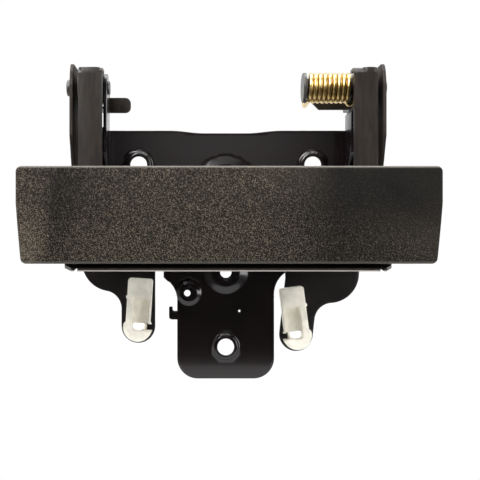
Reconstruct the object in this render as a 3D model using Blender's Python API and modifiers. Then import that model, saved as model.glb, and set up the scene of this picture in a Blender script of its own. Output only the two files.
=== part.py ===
"""Pickup tailgate handle: a paddle on a pressed bracket, hinged in a base plate, with two rod levers.

The frame: X runs to the right, Y into the tailgate, Z up. The base plate's front face is at Y = 0.
"""

from math import cos, pi, radians, sin, tan

import bmesh
import bpy
from mathutils import Matrix, Vector

MM = 0.001

# Clearances
SEAT = 0.3 * MM
RUNNING = 0.3 * MM

# Sheet thicknesses
PLATE_SHEET = 1.8 * MM
EAR_SHEET = 1.5 * MM
BRACKET_SHEET = 1.5 * MM
LEVER_SHEET = 2.0 * MM
FOLD = 1.8 * MM

# Handle pivot axis, along X
PIVOT_Y = -12.0 * MM
PIVOT_Z = 78.0 * MM
PIN_RADIUS = 3.0 * MM
PIN_HEAD_RADIUS = 4.3 * MM
PIN_HEAD_LENGTH = 3.8 * MM
PIN_STOP_RADIUS = 3.9 * MM
PIN_STOP_LENGTH = 0.8 * MM

# Base plate outline
PLATE_MARGIN = 0.4 * MM
PLATE_TOP = 57.4 * MM
PLATE_DIP = 1.4 * MM
DIP_INNER = 11.0 * MM
DIP_OUTER = 30.0 * MM
WING_TIP_Z = 4.0 * MM
WING_KNEE_X = 62.0 * MM
WING_KNEE_Z = -8.0 * MM
TONGUE_HALF_WIDTH = 25.9 * MM
TONGUE_BOTTOM = -75.1 * MM
TONGUE_CORNER = 11.0 * MM
FLARE_START_Z = -30.0 * MM
FLARE_RADIUS = 14.0 * MM
LEFT_FLARE_DROP = 3.5 * MM
LEFT_FLARE_END = 45
STEP_X = -33.2 * MM
STEP_TOP_Z = -10.0 * MM
STEP_Z = -21.0 * MM
STEP_CHAMFER = 2.2 * MM
HOOK_Z = -39.0 * MM
HOOK_REACH = 4.4 * MM
HOOK_DEPTH = 4.6 * MM
HOOK_CORNER = 1.6 * MM
HOOK_HORN = 2.4 * MM
HOOK_HORN_WIDTH = 2.0 * MM

# Holes and pressed forms of the base plate
UPPER_HOLE_X = 46.4 * MM
UPPER_HOLE_Z = 39.0 * MM
LOWER_HOLE_Z = -58.1 * MM
HOLE_RADIUS = 4.45 * MM
PAD_RADIUS = 6.0 * MM
PAD_FOOT = 7.6 * MM
PAD_RISE = 1.5 * MM
DIMPLE_Z = -18.2 * MM
DIMPLE_FOOT = 12.5 * MM
DIMPLE_FLAT = 6.7 * MM
DIMPLE_DEPTH = 2.5 * MM
DIMPLE_HOLE = 3.0 * MM
SMALL_DIMPLE_X = -20.3 * MM
SMALL_DIMPLE_Z = -29.4 * MM
SMALL_DIMPLE_FOOT = 7.4 * MM
SMALL_DIMPLE_FLAT = 4.4 * MM
SMALL_DIMPLE_DEPTH = 1.5 * MM
SMALL_DIMPLE_HOLE = 1.7 * MM
LOCATOR_X = 7.3 * MM
LOCATOR_Z = -39.0 * MM
LOCATOR_RADIUS = 0.6 * MM

# Lever pivot in the base plate's central dish
LEVER_PIVOT_Z = 25.0 * MM
DISH_FOOT = 18.7 * MM
DISH_FLAT = 11.5 * MM
DISH_DEPTH = 7.9 * MM
RIVET_RADIUS = 4.0 * MM
RIVET_HEAD_RADIUS = 6.5 * MM
RIVET_HEAD_LENGTH = 2.2 * MM
WASHER_RADIUS = 9.0 * MM
WASHER_THICKNESS = 1.4 * MM

# Pivot brackets: the ears that carry the pins
INNER_EAR_X = 62.5 * MM
EAR_SPAN = 16.4 * MM
EAR_SHIFT = 0.8 * MM
EAR_JOG = 2.0 * MM
JOG_LOW_Z = 64.5 * MM
JOG_HIGH_Z = 67.5 * MM
OUTER_EAR_X = INNER_EAR_X + EAR_SPAN
PLATE_HALF_WIDTH = OUTER_EAR_X + PLATE_MARGIN
INNER_EAR_RADIUS = 7.2 * MM
INNER_EAR_HALF_DEPTH = 9.6 * MM
INNER_EAR_NECK = 8.0 * MM
INNER_EAR_FOOT_Z = 33.0 * MM
INNER_EAR_KNEE_Z = 43.8 * MM
OUTER_EAR_TOP = 87.6 * MM
OUTER_EAR_FRONT = -33.0 * MM
OUTER_EAR_BEVEL = 6.0 * MM
OUTER_EAR_ELBOW_Z = 51.3 * MM
OUTER_EAR_KNEE_Z = 38.5 * MM
OUTER_EAR_SHIN = (-14.0 * MM, 18.0 * MM)
EAR_CORNER = 2.0 * MM

# Handle bracket
BRACKET_FRONT = -34.4 * MM
BRACKET_MARGIN = 2.1 * MM
BRACKET_HALF_WIDTH = OUTER_EAR_X + BRACKET_MARGIN
BRACKET_TOP = 31.0 * MM
BRACKET_BOTTOM = -16.3 * MM
WALL_CORNER_WIDTH = 5.0 * MM
WALL_CORNER_HEIGHT = 8.0 * MM
LIP_FRONT = -45.0 * MM
LIP_CHAMFER = 4.5 * MM
LIP_DROP = 1.4 * MM
NOTCH_HALF_WIDTH = 1.2 * MM
SPACER_RADIUS = 6.0 * MM
SPACER_LENGTH = 2.4 * MM
ARM_OUTER_X = OUTER_EAR_X - EAR_SHEET - SPACER_LENGTH - 2 * SEAT
NOTCH_X = ARM_OUTER_X
WEB_INNER_X = INNER_EAR_X
WEB_CLEARANCE = 2.0 * MM
ARM_TOP = 84.9 * MM
ARM_ROOT_Z = 24.0 * MM
ARM_BEND = 2.6 * MM
CHANNEL_FOOT_Z = 60.0 * MM
HORN_BOTTOM = 70.5 * MM
HORN_TIP_Y = 26.0 * MM
HORN_TIP_Z = 74.5 * MM
HORN_NOSE = 1.5 * MM
HORN_SHOULDER = (9.0 * MM, 83.0 * MM)
PUSHER_FIT = 0.2 * MM
PUSHER_START_Y = 10.5 * MM
TAB_FRONT = 8.2 * MM
LEFT_TAB_REACH = 51.3 * MM
LEFT_TAB_LOW = 68.0 * MM
LEFT_TAB_HIGH = 76.2 * MM
RIGHT_TAB_LOW = 69.7 * MM
RIGHT_TAB_HIGH = 82.0 * MM
TAB_CORNER = 3.0 * MM
TAB_SLANT = 9.5 * MM
TAB_BEYOND_WIRE = 0.3 * MM

# Return spring on the right pin
WIRE_RADIUS = 1.05 * MM
SPRING_RADIUS = 6.8 * MM
SPRING_TURNS = 8.75
SPRING_PITCH = 2.43 * MM
SPRING_HOLE_Z = 70.5 * MM
SPRING_LEG_BEND = 1.3 * MM
SPRING_LEG_LENGTH = 9.3 * MM
PIN_SHOULDER_RADIUS = 4.9 * MM
DISC_HEAD_RADIUS = 7.9 * MM
DISC_HEAD_LENGTH = 1.9 * MM

# Paddle
PADDLE_HALF_WIDTH = 102.5 * MM
PADDLE_TAPER = 1.6 * MM
PADDLE_TOP = 34.5 * MM
PADDLE_BOTTOM = -12.6 * MM
PADDLE_FRONT = -50.0 * MM
PADDLE_LEAN_Z = 17.0 * MM
PADDLE_LEAN = 3.5 * MM
PADDLE_CORNER = 2.8 * MM
PADDLE_WALL = 2.4 * MM
PADDLE_EDGE = 1.3 * MM
RIB_THICKNESS = 1.6 * MM
RIB_X = (20.0 * MM, PADDLE_HALF_WIDTH - 14.5 * MM)
SCREW_INSET = 11.0 * MM
SCREW_SPREAD = 32.0 * MM
SCREW_X = (BRACKET_HALF_WIDTH - SCREW_INSET - SCREW_SPREAD, BRACKET_HALF_WIDTH - SCREW_INSET)
SCREW_Z = 9.0 * MM
SCREW_RADIUS = 1.6 * MM
SCREW_LENGTH = 8.0 * MM
SCREW_HEAD_RADIUS = 3.6 * MM
SCREW_HEAD_LENGTH = 2.2 * MM
BOSS_RADIUS = 3.8 * MM

# Levers, given for the right-hand one before it is turned to its rest angle
LEVER_FRONT = DISH_DEPTH + PLATE_SHEET + SEAT
HUB_RADIUS = 12.5 * MM
STEM_X = 47.3 * MM
STEM_Z = -48.0 * MM
STEM_RADIUS = 9.2 * MM
LIMB_OVERHANG = 0.6 * MM
LIMB_WIDTH = 7.0 * MM
LIMB_OUTER_X = ARM_OUTER_X + LIMB_OVERHANG
LIMB_INNER_X = LIMB_OUTER_X - LIMB_WIDTH
LOBE_INSET = 13.2 * MM
LOBE_X = LIMB_OUTER_X - LOBE_INSET
LOBE_Z = -12.8 * MM
LOBE_RADIUS = 16.3 * MM
LEVER_FILLET = 9.8 * MM
THROAT_Z = -14.0 * MM
THROAT_CORNER = 4.0 * MM
LIMB_TOP = HORN_BOTTOM - 0.9 * MM
LIMB_CORNER = 2.0 * MM
LIMB_SHOULDER_Z = 50.0 * MM
LIMB_WAIST_Z = 32.0 * MM
RIGHT_LEVER_TURN = 6.3
CLIP_HOLE_RADIUS = 4.9 * MM

# Rod clips
CLIP_DEPTH = 6.7 * MM
CLIP_BASE_RADIUS = 7.8 * MM
CLIP_SHOULDER = 12
CLIP_HALF_WIDTH = 6.6 * MM
CLIP_HEIGHT = 26.2 * MM
CLIP_CORNER = 1.5 * MM
CLIP_NUB_Z = 15.9 * MM
CLIP_NUB = 0.6 * MM
CLIP_BORE = 2.05 * MM
CLIP_BORE_REACH = 1.05 * MM
CLIP_STUD_RADIUS = CLIP_HOLE_RADIUS - RUNNING
CLIP_LIP = 0.7 * MM
CLIP_LIP_LENGTH = 1.2 * MM
CHANNEL_HIGH = 15.4 * MM
CHANNEL_OUTBOARD = 3.2 * MM
CHANNEL_INBOARD = 5.6 * MM
CHANNEL_DEPTH = 4.2 * MM
ROD_SLOT_LOW = -1.5 * MM
ROD_SLOT_HIGH = 2.0 * MM
LEFT_CLIP_LEAN = 3.6
RIGHT_CLIP_LEAN = 7.3

ROUND_STEPS = 24

PLANES = {
    "XY": Matrix(((1, 0, 0), (0, 1, 0), (0, 0, 1))),
    "XZ": Matrix(((1, 0, 0), (0, 0, -1), (0, 1, 0))),
    "YZ": Matrix(((0, 0, 1), (1, 0, 0), (0, 1, 0))),
}
AXIS_SIGN = {"XY": 1, "XZ": -1, "YZ": 1}


def clear_scene():
    """Remove everything that is in the scene."""
    for item in list(bpy.data.objects):
        bpy.data.objects.remove(item, do_unlink=True)


def new_collection(name):
    """A collection linked to the scene."""
    collection = bpy.data.collections.new(name)
    bpy.context.scene.collection.children.link(collection)
    return collection


def new_material(name, colour, roughness, metallic):
    """A Principled material of one colour."""
    material = bpy.data.materials.new(name)
    material.use_nodes = True
    shader = material.node_tree.nodes["Principled BSDF"]
    shader.inputs["Base Color"].default_value = (*colour, 1.0)
    shader.inputs["Roughness"].default_value = roughness
    shader.inputs["Metallic"].default_value = metallic
    return material


def add_object(name, mesh, collection):
    """Link a new object that carries the mesh."""
    item = bpy.data.objects.new(name, mesh)
    collection.objects.link(item)
    return item


def add_cutter(name, mesh):
    """An object that only cuts, joins or trims another."""
    item = add_object(name, mesh, TOOLS)
    item.hide_render = True
    item.display_type = "WIRE"
    return item


def combine(target, other, operation):
    """Join, cut or trim the target with the other object, by a live Boolean."""
    modifier = target.modifiers.new(other.name, "BOOLEAN")
    modifier.operation = operation
    modifier.solver = "EXACT"
    modifier.object = other
    return target


def join(target, mesh, name):
    """Join a mesh to the target."""
    return combine(target, add_cutter(target.name + "_" + name, mesh), "UNION")


def cut(target, mesh, name):
    """Cut a mesh out of the target."""
    return combine(target, add_cutter(target.name + "_" + name, mesh), "DIFFERENCE")


def trim(target, mesh, name):
    """Keep only what the target shares with a mesh."""
    return combine(target, add_cutter(target.name + "_" + name, mesh), "INTERSECT")


def arc(centre, radius, start, end, steps=8):
    """Points of an arc in a plane, from one angle to another in degrees."""
    angles = [radians(start + (end - start) * step / steps) for step in range(steps + 1)]
    return [(centre[0] + radius * cos(angle), centre[1] + radius * sin(angle)) for angle in angles]


def mirrored(points):
    """An outline turned over to the other side of the middle plane."""
    return [(-across, up) for across, up in reversed(points)]


def turned(points, centre, degrees):
    """An outline turned clockwise about a centre."""
    angle = radians(degrees)
    result = []
    for across, up in points:
        along, rise = across - centre[0], up - centre[1]
        result.append((centre[0] + along * cos(angle) + rise * sin(angle),
                       centre[1] - along * sin(angle) + rise * cos(angle)))
    return result


def sheet_section(corners, thickness, bend=FOLD, steps=5):
    """The closed outline of a folded sheet whose middle line runs through the corners, with round folds."""
    points = [Vector(corner) for corner in corners]
    line = []
    last = len(points) - 1
    for index, point in enumerate(points):
        before = (point - points[index - 1]).normalized() if index else None
        after = (points[index + 1] - point).normalized() if index < last else None
        if before is None or after is None:
            direction = after if before is None else before
            line.append((point, Vector((-direction.y, direction.x))))
            continue
        turn = before.angle_signed(after)
        side = -1.0 if turn > 0 else 1.0
        normal = Vector((-before.y, before.x)) * side
        start = point - before * bend * tan(abs(turn) / 2)
        centre = start + normal * bend
        for step in range(steps + 1):
            angle = -turn * step / steps
            arm = Matrix.Rotation(angle, 2) @ -normal
            line.append((centre + arm * bend, arm * -side))
    half = thickness / 2
    one_side = [tuple(point + normal * half) for point, normal in line]
    other_side = [tuple(point - normal * half) for point, normal in reversed(line)]
    return one_side + other_side


def flat(outline, plane, low, high):
    """A mesh of a flat outline pushed from low to high along the axis across its plane."""
    curve = bpy.data.curves.new("outline", "CURVE")
    curve.dimensions = "2D"
    curve.fill_mode = "BOTH"
    curve.extrude = (high - low) / 2
    spline = curve.splines.new("POLY")
    spline.points.add(len(outline) - 1)
    for point, (across, up) in zip(spline.points, outline):
        point.co = (across, up, 0.0, 1.0)
    spline.use_cyclic_u = True
    holder = add_object("outline", curve, TOOLS)
    mesh = bpy.data.meshes.new_from_object(holder.evaluated_get(bpy.context.evaluated_depsgraph_get()))
    bpy.data.objects.remove(holder)
    place = PLANES[plane].to_4x4()
    offset = Matrix.Translation((0, 0, AXIS_SIGN[plane] * (low + high) / 2))
    return solid(mesh, place @ offset)


def solid(mesh, place):
    """Weld a mesh, put it in its place and point its faces outwards."""
    work = bmesh.new()
    work.from_mesh(mesh)
    bmesh.ops.remove_doubles(work, verts=work.verts, dist=0.000001)
    bmesh.ops.transform(work, matrix=place, verts=work.verts)
    bmesh.ops.recalc_face_normals(work, faces=work.faces)
    work.to_mesh(mesh)
    work.free()
    return mesh


def cone(axis, centre, low, high, low_radius, high_radius, steps=ROUND_STEPS):
    """A cone or cylinder mesh along an axis, from low to high on that axis, about a centre across it."""
    work = bmesh.new()
    bmesh.ops.create_cone(work, cap_ends=True, segments=steps, radius1=low_radius, radius2=high_radius,
                          depth=high - low)
    middle = (low + high) / 2
    if axis == "Y":
        place = Matrix.Translation((centre[0], middle, centre[1])) @ Matrix.Rotation(-pi / 2, 4, "X")
    else:
        place = Matrix.Translation((middle, centre[0], centre[1])) @ Matrix.Rotation(pi / 2, 4, "Y")
    bmesh.ops.transform(work, matrix=place, verts=work.verts)
    mesh = bpy.data.meshes.new("round")
    work.to_mesh(mesh)
    work.free()
    return mesh


def block(low, high):
    """A box mesh between two corners."""
    work = bmesh.new()
    bmesh.ops.create_cube(work, size=1.0)
    low, high = Vector(low), Vector(high)
    place = Matrix.Translation((low + high) / 2) @ Matrix.Diagonal((*(high - low), 1.0))
    bmesh.ops.transform(work, matrix=place, verts=work.verts)
    mesh = bpy.data.meshes.new("block")
    work.to_mesh(mesh)
    work.free()
    return mesh


def turned_mesh(profile, axis, centre, steps=ROUND_STEPS):
    """A solid of revolution: the profile is a list of (place along the axis, radius), closed on the axis."""
    work = bmesh.new()
    points = [(profile[0][0], 0.0)] + list(profile) + [(profile[-1][0], 0.0)]
    rail = [work.verts.new((radius, 0, place)) for place, radius in points]
    edges = [work.edges.new(pair) for pair in zip(rail, rail[1:])]
    bmesh.ops.spin(work, geom=rail + edges, cent=(0, 0, 0), axis=(0, 0, 1), angle=2 * pi, steps=steps)
    bmesh.ops.remove_doubles(work, verts=work.verts, dist=0.000001)
    if axis == "Y":
        place = Matrix.Translation((centre[0], 0, centre[1])) @ Matrix.Rotation(-pi / 2, 4, "X")
    else:
        place = Matrix.Translation((0, centre[0], centre[1])) @ Matrix.Rotation(pi / 2, 4, "Y")
    bmesh.ops.transform(work, matrix=place, verts=work.verts)
    bmesh.ops.recalc_face_normals(work, faces=work.faces)
    mesh = bpy.data.meshes.new("turned")
    work.to_mesh(mesh)
    work.free()
    return mesh


def finish(item, material, pivot=None):
    """Dress an object, and put its origin on its pivot."""
    item.data.materials.append(material)
    if pivot is not None:
        item.data.transform(Matrix.Translation(-Vector(pivot)))
        item.location = pivot
    return item


def plate_outline():
    """The base plate's outline in X and Z, clockwise from the top of the dip."""
    right = []
    dip_steps = 6
    for step in range(dip_steps + 1):
        share = step / dip_steps
        rise = PLATE_DIP * (1 - cos(pi * share)) / 2
        right.append((DIP_INNER + (DIP_OUTER - DIP_INNER) * share, PLATE_TOP - PLATE_DIP + rise))
    right += [(PLATE_HALF_WIDTH - 2 * MM, PLATE_TOP), (PLATE_HALF_WIDTH, PLATE_TOP - 2 * MM)]
    right += [(PLATE_HALF_WIDTH, WING_TIP_Z), (WING_KNEE_X, WING_KNEE_Z)]
    flare = arc((TONGUE_HALF_WIDTH + FLARE_RADIUS, FLARE_START_Z), FLARE_RADIUS, 100, 180, 10)
    corner_centre = (TONGUE_HALF_WIDTH - TONGUE_CORNER, TONGUE_BOTTOM + TONGUE_CORNER)
    corner = arc(corner_centre, TONGUE_CORNER, 0, -90, 10)
    left = mirrored(right)
    step_edge = [(STEP_X, STEP_TOP_Z), (STEP_X, STEP_Z), (STEP_X + STEP_CHAMFER, STEP_Z - STEP_CHAMFER)]
    edge = -TONGUE_HALF_WIDTH
    left_centre = (edge - FLARE_RADIUS, FLARE_START_Z - LEFT_FLARE_DROP)
    left_flare = arc(left_centre, FLARE_RADIUS, 0, LEFT_FLARE_END, 6)
    tip = edge - HOOK_REACH
    hook = [(edge, HOOK_Z - HOOK_DEPTH), (tip + HOOK_CORNER, HOOK_Z - HOOK_DEPTH),
            (tip, HOOK_Z - HOOK_DEPTH + HOOK_CORNER), (tip, HOOK_Z + HOOK_HORN),
            (tip + HOOK_HORN_WIDTH, HOOK_Z + HOOK_HORN), (tip + HOOK_HORN_WIDTH, HOOK_Z), (edge, HOOK_Z)]
    return right + flare + corner + mirrored(corner) + hook + left_flare + step_edge[::-1] + left


def press(plate, name, centre, foot, flat_radius, depth):
    """Press a round form into the plate: back for a positive depth, towards the front for a negative one."""
    skin = 0.6 * PLATE_SHEET
    if depth > 0:
        bump = cone("Y", centre, PLATE_SHEET / 2, PLATE_SHEET + depth, foot + skin, flat_radius + skin)
        hollow = cone("Y", centre, -SEAT, depth, foot + SEAT * (foot - flat_radius) / depth, flat_radius)
    else:
        bump = cone("Y", centre, depth, PLATE_SHEET / 2, flat_radius + skin, foot + skin)
        over = SEAT * (foot - flat_radius) / -depth
        hollow = cone("Y", centre, PLATE_SHEET + depth, PLATE_SHEET + SEAT, flat_radius, foot + over)
    join(plate, bump, name + "_bump")
    cut(plate, hollow, name + "_hollow")


def drill(item, name, centre, radius):
    """Drill through along Y, clear of both faces."""
    cut(item, cone("Y", centre, -30 * MM, 30 * MM, radius, radius), name)


def build_base_plate():
    """The stamped plate, with its pads, dimples, dish and holes."""
    margin = 10 * MM
    slab = block((-PLATE_HALF_WIDTH - margin, 0, TONGUE_BOTTOM - margin),
                 (PLATE_HALF_WIDTH + margin, PLATE_SHEET, PLATE_TOP + margin))
    plate = add_object("base_plate", slab, HANDLE)
    press(plate, "dish", (0, LEVER_PIVOT_Z), DISH_FOOT, DISH_FLAT, DISH_DEPTH)
    press(plate, "dimple", (0, DIMPLE_Z), DIMPLE_FOOT, DIMPLE_FLAT, DIMPLE_DEPTH)
    press(plate, "small_dimple", (SMALL_DIMPLE_X, SMALL_DIMPLE_Z), SMALL_DIMPLE_FOOT, SMALL_DIMPLE_FLAT,
          SMALL_DIMPLE_DEPTH)
    for name, centre in BOLT_PLACES.items():
        press(plate, name + "_pad", centre, PAD_FOOT, PAD_RADIUS, -PAD_RISE)
        drill(plate, name + "_hole", centre, HOLE_RADIUS)
    drill(plate, "dimple_hole", (0, DIMPLE_Z), DIMPLE_HOLE)
    drill(plate, "small_dimple_hole", (SMALL_DIMPLE_X, SMALL_DIMPLE_Z), SMALL_DIMPLE_HOLE)
    drill(plate, "locator_hole", (LOCATOR_X, LOCATOR_Z), LOCATOR_RADIUS)
    drill(plate, "rivet_hole", (0, LEVER_PIVOT_Z), RIVET_RADIUS + RUNNING)
    trim(plate, flat(plate_outline(), "XZ", -8 * MM, 20 * MM), "outline")
    return finish(plate, GLOSS_BLACK)


def inner_ear_outline():
    """The inner ear in Y and Z: a round eye over a leg that slants back to the plate."""
    front = PIVOT_Y - INNER_EAR_HALF_DEPTH
    back = PIVOT_Y + INNER_EAR_HALF_DEPTH
    neck = PIVOT_Z - INNER_EAR_NECK
    eye = arc((PIVOT_Y, PIVOT_Z), INNER_EAR_RADIUS, 170, 10, 14)
    foot = INNER_EAR_FOOT_Z
    leg = [(1 * MM, foot), (-EAR_SHEET, foot), (front, INNER_EAR_KNEE_Z), (front, neck)]
    return leg + eye + [(back, neck), (back, PLATE_TOP + EAR_CORNER), (1 * MM, PLATE_TOP)]


def outer_ear_outline():
    """The outer ear in Y and Z: a taller plate whose front edge runs down and back to the base plate."""
    front = OUTER_EAR_FRONT
    back = PIVOT_Y + INNER_EAR_HALF_DEPTH
    foot = WING_TIP_Z + EAR_CORNER
    top = OUTER_EAR_TOP
    bevel = OUTER_EAR_BEVEL
    leg = [(1 * MM, foot), (-EAR_SHEET, foot), OUTER_EAR_SHIN, (front + bevel, OUTER_EAR_KNEE_Z),
           (front, OUTER_EAR_ELBOW_Z), (front, top - 1.8 * bevel)]
    crown = [(front + 0.3 * bevel, top - 0.7 * bevel), (front + 0.65 * bevel, top - 0.2 * bevel),
             (front + bevel, top), (back - bevel, top), (back, top - 0.75 * bevel)]
    return leg + crown + [(back, PLATE_TOP + EAR_CORNER), (1 * MM, PLATE_TOP)]


def build_pivot_bracket(side, name):
    """A channel welded to the plate: an inner and an outer ear, with the arm between them."""
    inner = EAR_FACES[side] + EAR_SHEET / 2
    outer = OUTER_EAR_X - EAR_SHEET / 2
    web = -SEAT - EAR_SHEET / 2
    front = OUTER_EAR_FRONT - 4 * MM
    section = sheet_section([(inner, front), (inner, web), (outer, web), (outer, front)], EAR_SHEET)
    inner_zone = flat(inner_ear_outline(), "YZ", inner - 3 * MM, inner + 4 * MM)
    outer_zone = flat(outer_ear_outline(), "YZ", outer - 4 * MM, outer + 3 * MM)
    web_zone = block((inner + 3 * MM, web - 3 * MM, INNER_EAR_FOOT_Z - 6 * MM),
                     (outer - 3 * MM, 1 * MM, PLATE_TOP))
    body = flat(section, "XY", 0, OUTER_EAR_TOP + 5 * MM)
    zones = (inner_zone, outer_zone, web_zone)
    if side < 0:
        for mesh in (body, *zones):
            mirror_mesh(mesh)
    bracket = add_object(name, body, HANDLE)
    if side > 0:
        eye = inner + EAR_JOG
        above = OUTER_EAR_TOP + 5 * MM
        flat_top = block((inner - 3 * MM, front, JOG_LOW_Z), (inner + 3 * MM, 1 * MM, above + 1 * MM))
        cut(bracket, flat_top, "inner_top")
        route = [(inner, JOG_LOW_Z - 1 * MM), (inner, JOG_LOW_Z), (eye, JOG_HIGH_Z), (eye, above)]
        jog = sheet_section(route, EAR_SHEET, EAR_SHEET / 2)
        join(bracket, flat(jog, "XZ", front, web), "jog")
    keep = add_cutter(name + "_zones", zones[0])
    join(keep, zones[1], "outer")
    join(keep, zones[2], "web")
    combine(bracket, keep, "INTERSECT")
    reach = sorted((side * (EAR_FACES[side] - 3 * MM), side * (OUTER_EAR_X + 3 * MM)))
    hole = PIN_RADIUS + RUNNING
    cut(bracket, cone("X", (PIVOT_Y, PIVOT_Z), reach[0], reach[1], hole, hole), "pin_hole")
    if side > 0:
        low, high = EYE_FACES[side] - 1 * MM, EYE_FACES[side] + EAR_SHEET + 1 * MM
        leg_hole = WIRE_RADIUS + RUNNING
        place = (PIVOT_Y + SPRING_RADIUS, SPRING_HOLE_Z)
        cut(bracket, cone("X", place, low, high, leg_hole, leg_hole, 16), "spring_hole")
    return bracket


def mirror_mesh(mesh):
    """Turn a mesh over to the left side."""
    mesh.transform(Matrix.Diagonal((-1.0, 1.0, 1.0, 1.0)))
    mesh.flip_normals()


def horn_outline():
    """The side of an arm's flange in Y and Z: around the pin, then back over the plate to its tip."""
    below = [(BRACKET_FRONT, CHANNEL_FOOT_Z), (BRACKET_FRONT + 4 * MM, CHANNEL_FOOT_Z + 1 * MM),
             (PIVOT_Y - 8 * MM, HORN_BOTTOM - 1.5 * MM), (PIVOT_Y + 4 * MM, HORN_BOTTOM)]
    nose = [(HORN_TIP_Y, HORN_BOTTOM), (HORN_TIP_Y + HORN_NOSE, HORN_BOTTOM + HORN_NOSE),
            (HORN_TIP_Y, HORN_TIP_Z), (HORN_TIP_Y - 8 * MM, HORN_TIP_Z + 3.5 * MM)]
    above = [HORN_SHOULDER, (PIVOT_Y + 8 * MM, ARM_TOP - 1.2 * MM), (PIVOT_Y, ARM_TOP),
             (BRACKET_FRONT, ARM_TOP)]
    return below + nose + above


def arm_meshes(face):
    """A right arm's meshes, its inner flange at a face: web, channel of two flanges, horn and pusher."""
    middle = BRACKET_FRONT + BRACKET_SHEET / 2
    cap = ARM_TOP - BRACKET_SHEET / 2
    web = sheet_section([(middle, ARM_ROOT_Z), (middle, cap), (PIVOT_Y, cap)], BRACKET_SHEET, ARM_BEND)
    inner = face + BRACKET_SHEET / 2
    outer = ARM_OUTER_X - BRACKET_SHEET / 2
    back = HORN_TIP_Y + 6 * MM
    channel = sheet_section([(inner, back), (inner, middle), (outer, middle), (outer, back)], BRACKET_SHEET)
    pusher = block((face + PUSHER_FIT, PUSHER_START_Y, HORN_BOTTOM),
                   (ARM_OUTER_X - PUSHER_FIT, HORN_TIP_Y, HORN_BOTTOM + BRACKET_SHEET))
    return (flat(web, "YZ", WEB_INNER_X, ARM_OUTER_X),
            flat(channel, "XY", CHANNEL_FOOT_Z - 2 * MM, ARM_TOP - 0.1 * MM),
            flat(horn_outline(), "YZ", face - 3 * MM, ARM_OUTER_X + 3 * MM), pusher)


def tab_outline(face, reach, low, high, slant):
    """A tab in X and Z, folded in from the flange at a face: its lower free corner is slanted or round."""
    root = face + 1.2 * MM
    if slant:
        return [(root, low), (reach + slant, low), (reach, low + slant), (reach, high), (root, high)]
    lower = arc((reach + TAB_CORNER, low + TAB_CORNER), TAB_CORNER, 270, 180, 5)
    upper = arc((reach + TAB_CORNER, high - TAB_CORNER), TAB_CORNER, 180, 90, 5)
    return [(root, low)] + lower + upper + [(root, high)]


def wall_outline():
    """The handle bracket's wall in X and Z, seen from the front."""
    half = BRACKET_HALF_WIDTH
    foot = BRACKET_BOTTOM - 4 * MM
    shoulder = BRACKET_TOP - WALL_CORNER_HEIGHT
    right = [(half, foot), (half, shoulder), (half - WALL_CORNER_WIDTH, BRACKET_TOP)]
    return right + mirrored(right)


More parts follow.
